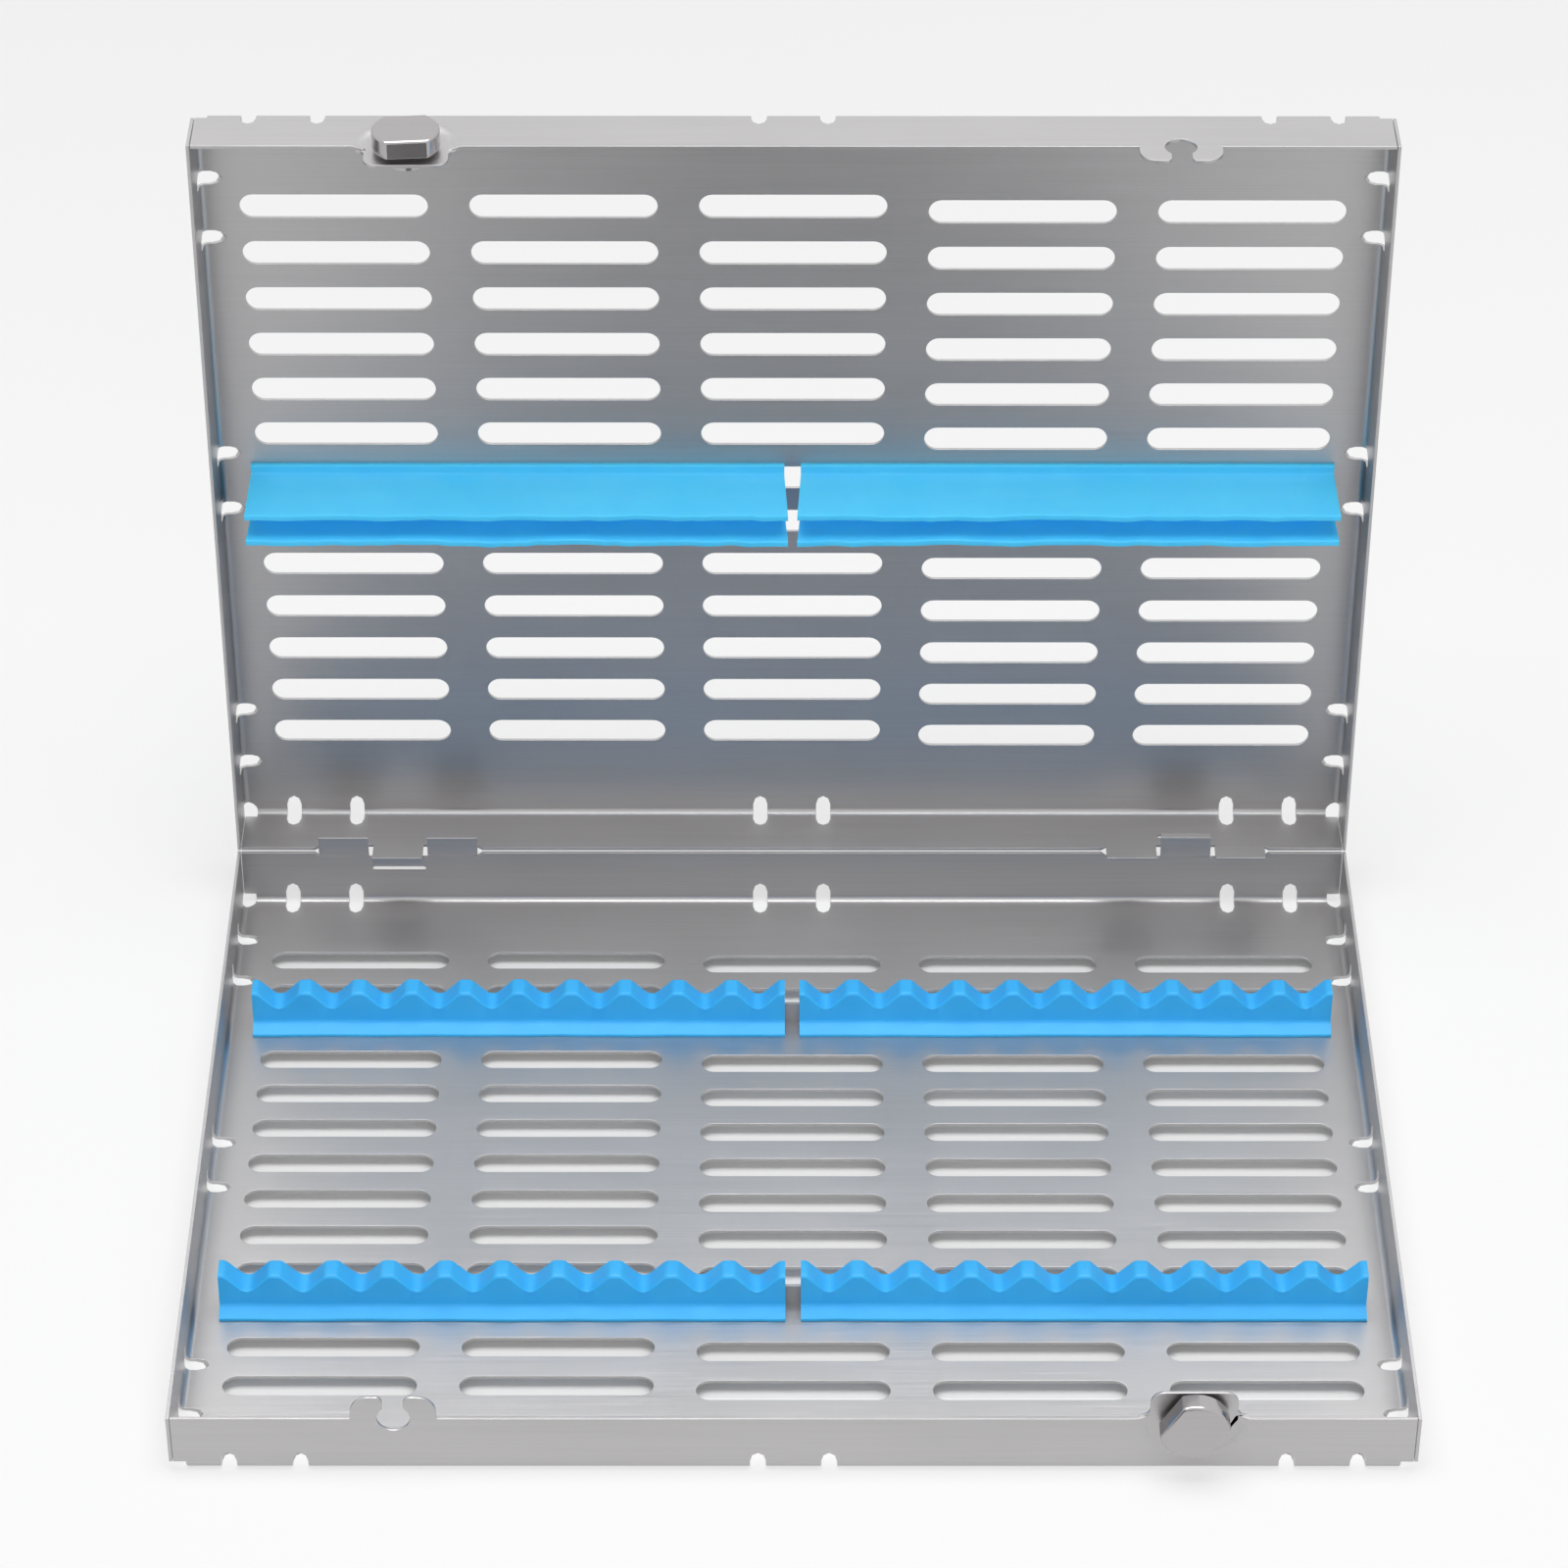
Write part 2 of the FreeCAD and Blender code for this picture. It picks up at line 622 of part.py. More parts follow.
def make_bar(label):
    """A steel angle as long as both strips, upright in front and foot to the rear."""
    body = add_body(label)
    profile = add_sketch(body, "AngleProfile", "YZ_Plane")
    draw_outline(profile, [
        ("0", "0"),
        ("Dims.bar_foot", "0"),
        ("Dims.bar_foot", "Dims.sheet"),
        ("Dims.sheet", "Dims.sheet"),
        ("Dims.sheet", "Dims.bar_height"),
        ("0", "Dims.bar_height")])
    pad(body, "Angle", profile, "2 * Dims.rail_length + Dims.rail_gap - 2 * Dims.bar_end_inset")
    return body


def make_rail(label):
    """A silicone rail with a flared foot, grooved for the angle, and ten valleys."""
    body = add_body(label)
    profile = add_sketch(body, "RailProfile", "YZ_Plane")
    half = "Dims.rail_thickness / 2"
    middle = "Dims.sheet / 2"
    foot = f"({half} + Dims.rail_foot_flare)"
    room = "Dims.play"
    draw_outline(profile, [
        (f"{middle} - {foot}", "0"),
        (f"{middle} - {foot}", "Dims.rail_foot_height / 3"),
        (f"{middle} - {half}", "Dims.rail_foot_height"),
        (f"{middle} - {half}", "Dims.rail_crest"),
        (f"{middle} + {half}", "Dims.rail_crest"),
        (f"{middle} + {half}", "Dims.rail_foot_height"),
        (f"{middle} + {foot}", "Dims.rail_foot_height / 3"),
        (f"{middle} + {foot}", "0"),
        (f"Dims.bar_foot + {room}", "0"),
        (f"Dims.bar_foot + {room}", f"Dims.sheet + {room}"),
        (f"Dims.sheet + {room}", f"Dims.sheet + {room}"),
        (f"Dims.sheet + {room}", f"Dims.bar_height + {room}"),
        (f"-{room}", f"Dims.bar_height + {room}"),
        (f"-{room}", "0")])
    pad(body, "Rail", profile, "Dims.rail_length")
    pitch = "(Dims.rail_length / Dims.rail_waves)"
    valley = add_sketch(body, "Valley", "XZ_Plane",
                        (f"(-Dims.rail_length + {pitch}) / 2", "0", f"-{middle}"))
    draw_valley(valley, f"({pitch} - Dims.rail_crest_flat) / 2")
    cut = pocket(body, "ValleyCut", valley, "2 * Dims.rail_thickness")
    repeat(body, "Valleys", cut, "X_Axis", pitch, "Dims.rail_waves")
    return body


def draw_valley(sketch, half):
    """A V with a round bottom, open at the crest."""
    radius = value("Dims.rail_valley_radius")
    top_y = value("Dims.rail_crest + Dims.sheet")
    crest = value("Dims.rail_crest")
    low = value("Dims.rail_valley")
    reach = value(half)
    centre = Vector(0, low + radius, 0)
    to_corner = Vector(reach, crest, 0) - centre
    span = to_corner.Length
    lean = Vector(1, 0, 0).getAngle(to_corner)
    touch = lean + asin(radius / span) - pi / 2
    foot = centre + Vector(cos(touch), sin(touch), 0) * radius
    mirror_foot = Vector(-foot.x, foot.y, 0)
    normal = Vector(0, 0, 1)
    arc = sketch.addGeometry(
        Part.ArcOfCircle(Part.Circle(centre, normal, radius), pi - touch, 2 * pi + touch))
    right = sketch.addGeometry(Part.LineSegment(foot, Vector(reach, crest, 0)))
    right_up = sketch.addGeometry(Part.LineSegment(Vector(reach, crest, 0), Vector(reach, top_y, 0)))
    roof = sketch.addGeometry(Part.LineSegment(Vector(reach, top_y, 0), Vector(-reach, top_y, 0)))
    left_up = sketch.addGeometry(
        Part.LineSegment(Vector(-reach, top_y, 0), Vector(-reach, crest, 0)))
    left = sketch.addGeometry(Part.LineSegment(Vector(-reach, crest, 0), mirror_foot))
    rules = [("Tangent", joint) for joint in ((arc, 2, right, 1), (left, 2, arc, 1))]
    rules += [("Coincident", joint) for joint in (
        (right, 2, right_up, 1), (right_up, 2, roof, 1),
        (roof, 2, left_up, 1), (left_up, 2, left, 1))]
    rules += pinned(arc, 3, "0", "Dims.rail_valley + Dims.rail_valley_radius")
    rules.append(("Radius", (arc,), "Dims.rail_valley_radius"))
    rules += pinned(right_up, 1, half, "Dims.rail_crest")
    rules += pinned(left_up, 2, f"-{half}", "Dims.rail_crest")
    rules += pinned(roof, 1, half, "Dims.rail_crest + Dims.sheet")
    rules += pinned(roof, 2, f"-{half}", "Dims.rail_crest + Dims.sheet")
    constrain(sketch, rules)


# Lid strips: two soft lips on a flange, clawed round the land between two slot rows

def make_strip(label, side):
    """A silicone hold-down strip; its frame lies on the land's middle, on the panel's inside."""
    body = add_body(label)
    profile = add_sketch(body, "LipProfile", "YZ_Plane")
    flange = "Dims.strip_flange / 2"
    root = "Dims.strip_root / 2"
    tip = "Dims.strip_tip_spread / 2"
    draw_outline(profile, [
        (f"-{flange}", "0"),
        (flange, "0"),
        (flange, "Dims.strip_flange_thickness"),
        (root, "Dims.strip_flange_thickness"),
        (tip, "Dims.strip_height"),
        (f"{tip} - Dims.strip_lip", "Dims.strip_height"),
        ("0", "Dims.strip_valley"),
        (f"-({tip} - Dims.strip_lip)", "Dims.strip_height"),
        (f"-{tip}", "Dims.strip_height"),
        (f"-{root}", "Dims.strip_flange_thickness"),
        (f"-{flange}", "Dims.strip_flange_thickness")])
    pad(body, "Lips", profile, "Dims.strip_length")

    shift = "Dims.column_stagger" if side < 0 else "0"
    first_column = f"{side} * (Dims.column_pitch - {STRIP_CENTRE})"
    claws = add_sketch(body, "ClawProfile", "YZ_Plane", (shift, "0", first_column))
    land = "((Dims.row_pitch - Dims.slot_width) / 2)"
    room = "Dims.play"
    for way in ("", "-"):
        draw_outline(claws, [
            (f"{way}({land} + {room})", "Dims.sheet / 2"),
            (f"{way}({land} + {room})", f"-Dims.sheet - {room}"),
            (f"{way}({land} + {room} - Dims.claw_hook)", f"-Dims.sheet - {room}"),
            (f"{way}({land} + {room} - Dims.claw_hook)", "-Dims.sheet - Dims.claw_head"),
            (f"{way}({land} + {room} + Dims.claw_thickness)", "-Dims.sheet - Dims.claw_head"),
            (f"{way}({land} + {room} + Dims.claw_thickness)", "Dims.sheet / 2")])
    first = pad(body, "Claws", claws, "Dims.claw_length")
    repeat(body, "ClawPairs", first, "X_Axis", "Dims.column_pitch", "Dims.pair_count",
           backwards=side < 0)
    return body


# Assembly

def lid_placement():
    """Turned over onto the base, then swung open about the parting line at the rear."""
    turned = Placement(Vector(0, 0, 2 * dim("half_height") + dim("parting_gap")),
                       Rotation(Vector(0, 1, 0), 180))
    pivot = Vector(0, dim("depth") / 2, dim("half_height") + dim("parting_gap") / 2)
    swing = Placement(Vector(), Rotation(Vector(1, 0, 0), -dim("open_angle")), pivot)
    return swing.multiply(turned)


def latch_placement(angle):
    """The knob's frame on a tray, turned about the shank's axis."""
    place = Vector(dim("latch_offset"), -dim("depth") / 2,
                   dim("half_height") + dim("parting_gap") / 2)
    return Placement(place, Rotation(Vector(0, 1, 0), angle))


middle_row = (dim("row_count") + 1) / 2
land_middle = value(row_place(middle_row)) + dim("row_pitch") / 2
base = Placement(Vector(0, -land_middle, 0), Rotation())
lid = base.multiply(lid_placement())

rear_rail_row = int(dim("rear_rail_row"))
front_rail_row = int(dim("front_rail_row"))
row_count = int(dim("row_count"))
base_rows = [(1, rear_rail_row - 1), (rear_rail_row + 1, front_rail_row - 1),
             (front_rail_row + 1, row_count)]
nodes = []


def set_down(node, frame, seat=Placement()):
    """Put a finished node at its seat in one tray's frame."""
    node.Placement = frame.multiply(seat)
    nodes.append(node)


set_down(make_tray("base_shell", base_rows), base)
set_down(make_tray("lid_shell", [(1, row_count)]), lid)

for owner, frame in (("base", base), ("lid", lid)):
    seat = latch_placement(dim(f"{owner}_knob_angle"))
    set_down(make_knob(f"{owner}_latch_knob"), frame, seat)
    set_down(make_washer(f"{owner}_latch_spring_washer"), frame, seat)
    set_down(make_retainer(f"{owner}_latch_retainer"), frame, seat)

for name, rail_row in (("rear", rear_rail_row), ("front", front_rail_row)):
    bar_face = value(row_place(rail_row)) + dim("slot_width") / 2 + dim("play")
    on_floor = Vector(0, bar_face, dim("sheet"))
    set_down(make_bar(f"{name}_rail_bar"), base, Placement(on_floor, Rotation()))
    for hand, sign in (("left", -1), ("right", 1)):
        along = Vector(sign * value(RAIL_CENTRE), 0, 0)
        set_down(make_rail(f"{name}_rail_{hand}"), base, Placement(on_floor + along, Rotation()))

for hand, sign in (("left", 1), ("right", -1)):
    seat = Vector(sign * value(STRIP_CENTRE), land_middle, dim("sheet"))
    set_down(make_strip(f"lid_strip_{hand}", sign), lid, Placement(seat, Rotation()))

doc.recompute()

for item in doc.Objects:
    if "Invalid" in item.State or "Error" in item.State:
        raise RuntimeError(f"{item.Label} failed: {item.State}")
os.makedirs("parts", exist_ok=True)
for node in nodes:
    if node.Shape.isNull() or not node.Shape.isValid():
        raise RuntimeError(f"{node.Label} has no valid shape")
    node.Shape.exportStep(f"parts/{node.Label}.step")
    print(node.Label, len(node.Shape.Solids), round(node.Shape.Volume, 1))
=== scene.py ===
# %% [markdown]
# # An instrument cassette in brushed steel and blue silicone
#
# This lesson dresses a finished engineering model. The model holds two trays
# folded from perforated sheet, their latch knobs, and plain stand-ins for the
# silicone parts. Blender adds what the eye judges: brushed steel that streaks
# along its grain, polished knobs, and soft silicone with rounded edges.
#
# The first cell loads the model. Its bodies and nodes keep their places, and
# every length in this file is in metres.

import json
import math

import bmesh
import bpy
from mathutils import Matrix, Vector


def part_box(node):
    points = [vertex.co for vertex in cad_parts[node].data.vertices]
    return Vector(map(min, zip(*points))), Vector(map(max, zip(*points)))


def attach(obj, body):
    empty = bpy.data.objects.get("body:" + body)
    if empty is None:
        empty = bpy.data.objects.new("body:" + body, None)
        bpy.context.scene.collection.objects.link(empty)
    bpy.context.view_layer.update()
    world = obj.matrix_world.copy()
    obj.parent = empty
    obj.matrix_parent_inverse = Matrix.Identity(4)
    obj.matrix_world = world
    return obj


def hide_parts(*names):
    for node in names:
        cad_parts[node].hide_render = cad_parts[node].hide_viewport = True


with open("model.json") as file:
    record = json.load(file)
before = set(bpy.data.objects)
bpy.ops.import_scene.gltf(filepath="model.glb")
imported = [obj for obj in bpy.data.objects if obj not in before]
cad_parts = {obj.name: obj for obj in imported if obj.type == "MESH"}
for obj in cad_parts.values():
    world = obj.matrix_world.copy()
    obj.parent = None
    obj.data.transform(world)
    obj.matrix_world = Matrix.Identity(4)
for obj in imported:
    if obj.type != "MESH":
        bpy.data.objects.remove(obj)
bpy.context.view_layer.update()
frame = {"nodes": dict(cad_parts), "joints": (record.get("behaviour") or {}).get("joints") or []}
MM = 0.001


# %% A helper for new objects
def put_in_scene(name, data):
    """A new object with this data, linked to the scene."""
    thing = bpy.data.objects.new(name, data)
    bpy.context.scene.collection.objects.link(thing)
    return thing


# %% [markdown]
# ## Sums on sockets
#
# A procedural finish is mostly arithmetic: a streak times a strength, plus a
# base value. Wiring each Math node by hand hides that. A small class wraps a
# node's output and overloads the operators, so a finish reads like a formula.
# The same class serves the shaders and the Geometry Nodes, because both kinds
# of tree use the same Math node.


# %% A socket that takes part in Python sums
def add_node(tree, kind, settings=None, values=None, output=0):
    """Add a node, set it up, fill its inputs, and return one of its outputs."""
    node = tree.nodes.new(kind)
    for name, setting in (settings or {}).items():
        setattr(node, name, setting)
    for place, item in (values or {}).items():
        if isinstance(item, Link):
            tree.links.new(item.socket, node.inputs[place])
        else:
            node.inputs[place].default_value = item
    return Link(tree, node.outputs[output])


class Link:
    """A node's output, with the operators that the finishes and forms use."""

    def __init__(self, tree, socket):
        self.tree = tree
        self.socket = socket

    def maths(self, operation, *items):
        return add_node(self.tree, "ShaderNodeMath", {"operation": operation},
                        dict(enumerate(items)))

    def __add__(self, other):
        return self.maths("ADD", self, other)

    def __sub__(self, other):
        return self.maths("SUBTRACT", self, other)

    def __rsub__(self, other):
        return self.maths("SUBTRACT", other, self)

    def __mul__(self, other):
        return self.maths("MULTIPLY", self, other)

    def __rmul__(self, other):
        return self.maths("MULTIPLY", other, self)

    def __truediv__(self, other):
        return self.maths("DIVIDE", self, other)

    def absolute(self):
        return self.maths("ABSOLUTE", self)

    def fraction(self):
        return self.maths("FRACT", self)

    def above(self, edge):
        return self.maths("GREATER_THAN", self, edge)

    def at_least(self, other):
        return self.maths("MAXIMUM", self, other)

    def at_most(self, other):
        return self.maths("MINIMUM", self, other)

    def soft_at_least(self, other, rounding):
        return self.maths("SMOOTH_MAX", self, other, rounding)

    def soft_at_most(self, other, rounding):
        return self.maths("SMOOTH_MIN", self, other, rounding)

    def parts(self):
        """The x, y and z of a vector."""
        node = self.tree.nodes.new("ShaderNodeSeparateXYZ")
        self.tree.links.new(self.socket, node.inputs[0])
        return [Link(self.tree, socket) for socket in node.outputs]


def vector_of(tree, x, y, z):
    return add_node(tree, "ShaderNodeCombineXYZ", values={0: x, 1: y, 2: z})


def noise(tree, vector, detail=2.0, roughness=0.5):
    """Noise at one cell per unit of the vector given, about 0 to 1."""
    return add_node(tree, "ShaderNodeTexNoise",
                    values={"Vector": vector, "Scale": 1.0, "Detail": detail,
                            "Roughness": roughness})


# %% [markdown]
# ## Brushed steel
#
# The sheet is ground with a belt before it is punched and folded. The belt
# leaves fine lines along the tray's length, and they follow the sheet round
# its bends, so on the two side walls they run up and down.
#
# A noise that is squeezed hard across the grain and stretched along it gives
# such lines. It varies the roughness and the colour a little, and a faint
# bump spreads the reflections across the grain, as the real grooves do. A
# second, slow noise keeps the large panels from looking like plastic film.


# %% The steel finishes
GRAIN_LINE = 0.2 * MM
GRAIN_LENGTH = 45 * MM
GRAIN_SHARE = 0.7
CLOUD = 60 * MM
CLOUD_SHARE = 0.3
CLOUD_SPREAD = 0.06
LOOKS_SIDEWAYS = 0.7


def new_material(name):
    material = bpy.data.materials.new(name)
    material.use_nodes = True
    tree = material.node_tree
    surface = tree.nodes["Principled BSDF"]
    return material, tree, surface


def connect(tree, item, socket):
    tree.links.new(item.socket, socket)


def mix_colour(tree, share, first, second):
    """From the first colour to the second as the share goes from 0 to 1."""
    node = tree.nodes.new("ShaderNodeMix")
    node.data_type = "RGBA"
    share_socket = node.inputs["Factor"]
    first_socket, second_socket = (s for s in node.inputs if s.type == "RGBA")
    tree.links.new(share.socket, share_socket)
    first_socket.default_value = (*first, 1.0)
    second_socket.default_value = (*second, 1.0)
    return Link(tree, next(s for s in node.outputs if s.type == "RGBA"))


def grain(tree, side_axis):
    """Brushing lines along X, or along another axis on faces that look along X."""
    place = add_node(tree, "ShaderNodeTexCoord", output="Object").parts()
    facing = add_node(tree, "ShaderNodeNewGeometry", output="Normal").parts()
    on_side = facing[0].absolute().above(LOOKS_SIDEWAYS)
    off_side = 1 - on_side
    fine = [axis / GRAIN_LINE for axis in place]
    along_side = [0.0, *fine[1:]]
    along_side[side_axis] = place[side_axis] / GRAIN_LENGTH
    along_x = vector_of(tree, place[0] / GRAIN_LENGTH, *fine[1:])
    return (noise(tree, along_x) * off_side
            + noise(tree, vector_of(tree, *along_side)) * on_side)


def steel(name, light, dark, roughness, spread, line_height, side_axis=2):
    """Brushed steel: two greys, a mean roughness, its spread and the groove height."""
    material, tree, surface = new_material(name)
    lines = grain(tree, side_axis)
    cloud_place = add_node(tree, "ShaderNodeTexCoord", output="Object").parts()
    clouds = noise(tree, vector_of(tree, *(axis / CLOUD for axis in cloud_place)))
    connect(tree, mix_colour(tree, lines * GRAIN_SHARE + clouds * CLOUD_SHARE, dark, light),
            surface.inputs["Base Color"])
    connect(tree, (lines - 0.5) * spread + (clouds - 0.5) * CLOUD_SPREAD + roughness,
            surface.inputs["Roughness"])
    bump = add_node(tree, "ShaderNodeBump",
                    values={"Strength": 1.0, "Distance": line_height, "Height": lines})
    connect(tree, bump, surface.inputs["Normal"])
    surface.inputs["Metallic"].default_value = 1.0
    return material


SHEET_LIGHT = (0.57, 0.56, 0.562)
SHEET_DARK = (0.42, 0.413, 0.415)
BASE_STEEL = steel("base_steel", SHEET_LIGHT, SHEET_DARK, roughness=0.37, spread=0.10,
                   line_height=0.03 * MM, side_axis=2)
LID_STEEL = steel("lid_steel", SHEET_LIGHT, SHEET_DARK, roughness=0.37, spread=0.10,
                  line_height=0.03 * MM, side_axis=1)
KNOB_STEEL = steel("knob_steel", light=(0.50, 0.48, 0.485), dark=(0.40, 0.385, 0.39),
                   roughness=0.2, spread=0.08, line_height=0.004 * MM)
SPRING_STEEL = steel("spring_steel", light=(0.44, 0.44, 0.45), dark=(0.34, 0.34, 0.35),
                     roughness=0.35, spread=0.05, line_height=0.002 * MM)

# %% [markdown]
# ## Silicone
#
# The rails and lips are pressed from a translucent blue rubber. Light enters
# it and comes out a little further on, so its edges glow paler than its
# faces. Subsurface scattering gives that. The surface is satin, with a slow
# unevenness from the mould, which a weak bump gives.


# %% The silicone finish
MOULD_PATCH = 9 * MM
MOULD_GRAIN = 0.5 * MM
MOULD_DEPTH = 0.02 * MM
GRAIN_DEPTH_SHARE = 0.25


def silicone(name, light, dark):
    """Satin rubber that lets a little light through, between two blues."""
    material, tree, surface = new_material(name)
    place = add_node(tree, "ShaderNodeTexCoord", output="Object").parts()
    patches = noise(tree, vector_of(tree, *(axis / MOULD_PATCH for axis in place)))
    skin = noise(tree, vector_of(tree, *(axis / MOULD_GRAIN for axis in place)), detail=3.0)
    connect(tree, mix_colour(tree, patches, dark, light), surface.inputs["Base Color"])
    connect(tree, skin * 0.10 + 0.36, surface.inputs["Roughness"])
    bump = add_node(tree, "ShaderNodeBump",
                    values={"Strength": 1.0, "Distance": MOULD_DEPTH,
                            "Height": skin * GRAIN_DEPTH_SHARE + patches})
    connect(tree, bump, surface.inputs["Normal"])
    surface.inputs["Specular IOR Level"].default_value = 0.32
    surface.inputs["Subsurface Weight"].default_value = 0.25
    surface.inputs["Subsurface Radius"].default_value = (0.4, 1.0, 1.6)
    surface.inputs["Subsurface Scale"].default_value = 1.2 * MM
    return material


LIP_SILICONE = silicone("lip_silicone", light=(0.085, 0.62, 0.99), dark=(0.06, 0.56, 0.97))
BLUE_SILICONE = silicone("blue_silicone", light=(0.055, 0.50, 0.97), dark=(0.035, 0.44, 0.93))

# %% [markdown]
# ## Dress the solids that are already right
#
# The washers, the retainers and the steel angles under the rails have their
# true shape in the model. They only need a finish, which goes into their
# material slots. The knobs get theirs too, and finer edges further on.


# %% Give every rigid node its finish
def finish_of(node):
    if "spring_washer" in node:
        return SPRING_STEEL
    return KNOB_STEEL if "latch" in node else BASE_STEEL


for node, piece in frame["nodes"].items():
    if node.endswith("bar") or "latch" in node:
        piece.data.materials.clear()
        piece.data.materials.append(finish_of(node))
        print("finished", node, "as", finish_of(node).name)

# %% [markdown]
# ## Silicone parts are one section, swept
#
# Each rail is one section drawn along a straight line, with a wave cut into
# its top. Geometry Nodes suit such a form: the section comes in as a loop of
# edges with a rounding at each corner, the tree rounds it, sweeps it, and
# then moves the swept points by a formula.
#
# The section's loop is turned half round before it goes in, because a sweep
# along X lays a profile's X and Y against the world's Y and Z.


# %% Sweep helpers
END_CREASE = math.radians(35)
FILLET_STEPS = 5


def section_object(name, corners):
    """A loop of edges through corners (across, up, rounding)."""
    mesh = bpy.data.meshes.new(name)
    points = [(-across, -up, 0.0) for across, up, _ in corners]
    count = len(points)
    mesh.from_pydata(points, [(i, (i + 1) % count) for i in range(count)], [])
    rounding = mesh.attributes.new("rounding", "FLOAT", "POINT")
    rounding.data.foreach_set("value", [corner[2] for corner in corners])
    return put_in_scene(name, mesh)


def open_tree(name, inputs):
    """A Geometry Nodes tree with named inputs; returns it with a Link for each."""
    tree = bpy.data.node_groups.new(name, "GeometryNodeTree")
    tree.interface.new_socket("Geometry", in_out="INPUT",
                              socket_type="NodeSocketGeometry")
    for word, kind in inputs.items():
        tree.interface.new_socket(word, in_out="INPUT", socket_type=kind)
    tree.interface.new_socket("Geometry", in_out="OUTPUT",
                              socket_type="NodeSocketGeometry")
    entry = tree.nodes.new("NodeGroupInput")
    links = {socket.name: Link(tree, socket) for socket in entry.outputs if socket.name}
    return tree, links


def close_tree(tree, geometry, material):
    """End a tree: real meshes, smooth, with a material."""
    real = add_node(tree, "GeometryNodeRealizeInstances", values={0: geometry})
    smooth = add_node(tree, "GeometryNodeSetShadeSmooth", values={0: real})
    dressed = add_node(tree, "GeometryNodeSetMaterial",
                       values={0: smooth, "Material": material})
    leave = tree.nodes.new("NodeGroupOutput")
    tree.links.new(dressed.socket, leave.inputs[0])


def swept(tree, section, start, end, steps):
    """Round a loop of edges at its corners and sweep it along X."""
    loop = add_node(tree, "GeometryNodeMeshToCurve", values={0: section})
    rounding = add_node(tree, "GeometryNodeInputNamedAttribute",
                        {"data_type": "FLOAT"}, {"Name": "rounding"})
    profile = add_node(tree, "GeometryNodeFilletCurve", {"mode": "POLY"},
                       {"Curve": loop, "Count": FILLET_STEPS, "Radius": rounding,
                        "Limit Radius": True})
    line = add_node(tree, "GeometryNodeCurvePrimitiveLine",
                    values={"Start": vector_of(tree, start, 0.0, 0.0),
                            "End": vector_of(tree, end, 0.0, 0.0)})
    path = add_node(tree, "GeometryNodeResampleCurve", values={"Curve": line, "Count": steps})
    return add_node(tree, "GeometryNodeCurveToMesh",
                    values={"Curve": path, "Profile Curve": profile, "Fill Caps": True})


def moved(tree, geometry, position):
    return add_node(tree, "GeometryNodeSetPosition",
                    values={"Geometry": geometry, "Position": position})


def grow(section, tree, sizes):
    """Run the tree on a section and return the finished mesh."""
    modifier = section.modifiers.new(tree.name, "NODES")
    modifier.node_group = tree
    for item in tree.interface.items_tree:
        if item.in_out == "INPUT" and item.name in sizes:
            modifier[item.identifier] = sizes[item.name]
    evaluated = section.evaluated_get(bpy.context.evaluated_depsgraph_get())
    mesh = bpy.data.meshes.new_from_object(evaluated)
    bpy.data.objects.remove(section)
    return mesh


def sharpen(mesh):
    """Keep the flat end faces crisp where they meet the swept skin."""
    mesh.set_sharp_from_angle(angle=END_CREASE)


def joined(name, meshes, material):
    """One mesh from several closed shells, with every face outwards."""
    together = bmesh.new()
    for mesh in meshes:
        together.from_mesh(mesh)
    bmesh.ops.recalc_face_normals(together, faces=together.faces)
    whole = bpy.data.meshes.new(name)
    together.to_mesh(whole)
    together.free()
    whole.materials.append(material)
    return whole


def seat(mesh, name, node, body, place=None):
    """Make a piece of a finished mesh, in place of a node and riding its body."""
    if place:
        mesh.transform(place)
    mesh.name = name
    piece = put_in_scene(name, mesh)
    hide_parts(node)
    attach(piece, body)
    print(name, len(mesh.polygons), "faces")


# %% [markdown]
# ## The trays' punched floors
#
# Each tray is one sheet, punched with rows of long slots and then folded. The
# press leaves a fine rounding on every punched edge, a tenth of a millimetre
# wide. It is what shows as a bright thread round each slot.
#
# The model's slots end in a few chords, which is enough for its weight and
# its collisions. Here a Geometry Nodes tree makes the floor again: one slot's
# rounded edge is swept round a stadium outline, set out on a grid of points,
# and the sheet between the slots is filled in round them.

# %% Floor sizes
SHEET = 0.8 * MM
EDGE_ROUND = 0.11 * MM
WALL_ROUND = EDGE_ROUND * 0.8
MID_ARC = 0.3
SLOT_END_STEPS = 6
FULLY_ROUND = 0.4999
FLOOR_ROWS = {
    "Columns": 5, "Column Pitch": 54.05 * MM, "Stagger": 1.45 * MM,
    "Rows": 13, "Row Pitch": 12.65 * MM, "Middle Row": -0.95 * MM,
    "Slot Length": 44.3 * MM, "Slot Width": 6.2 * MM,
    "Panel Length": 265.0 * MM, "Panel Width": 176.0 * MM, "Sheet": SHEET}


# %% The floor's tree
def punched_edge():
    """The section of a punched edge, from the upper face to the lower: (out, up)."""
    half_way = EDGE_ROUND * MID_ARC
    upper = [(EDGE_ROUND, SHEET), (half_way, SHEET - half_way), (0.0, SHEET - EDGE_ROUND)]
    return upper + [(out, SHEET - up) for out, up in reversed(upper)]


def line_object(name, points):
    """A chain of edges, laid out so that a sweep carries it outwards and up."""
    mesh = bpy.data.meshes.new(name)
    mesh.from_pydata([(out, -up, 0.0) for out, up in points],
                     [(i, i + 1) for i in range(len(points) - 1)], [])
    return put_in_scene(name, mesh)


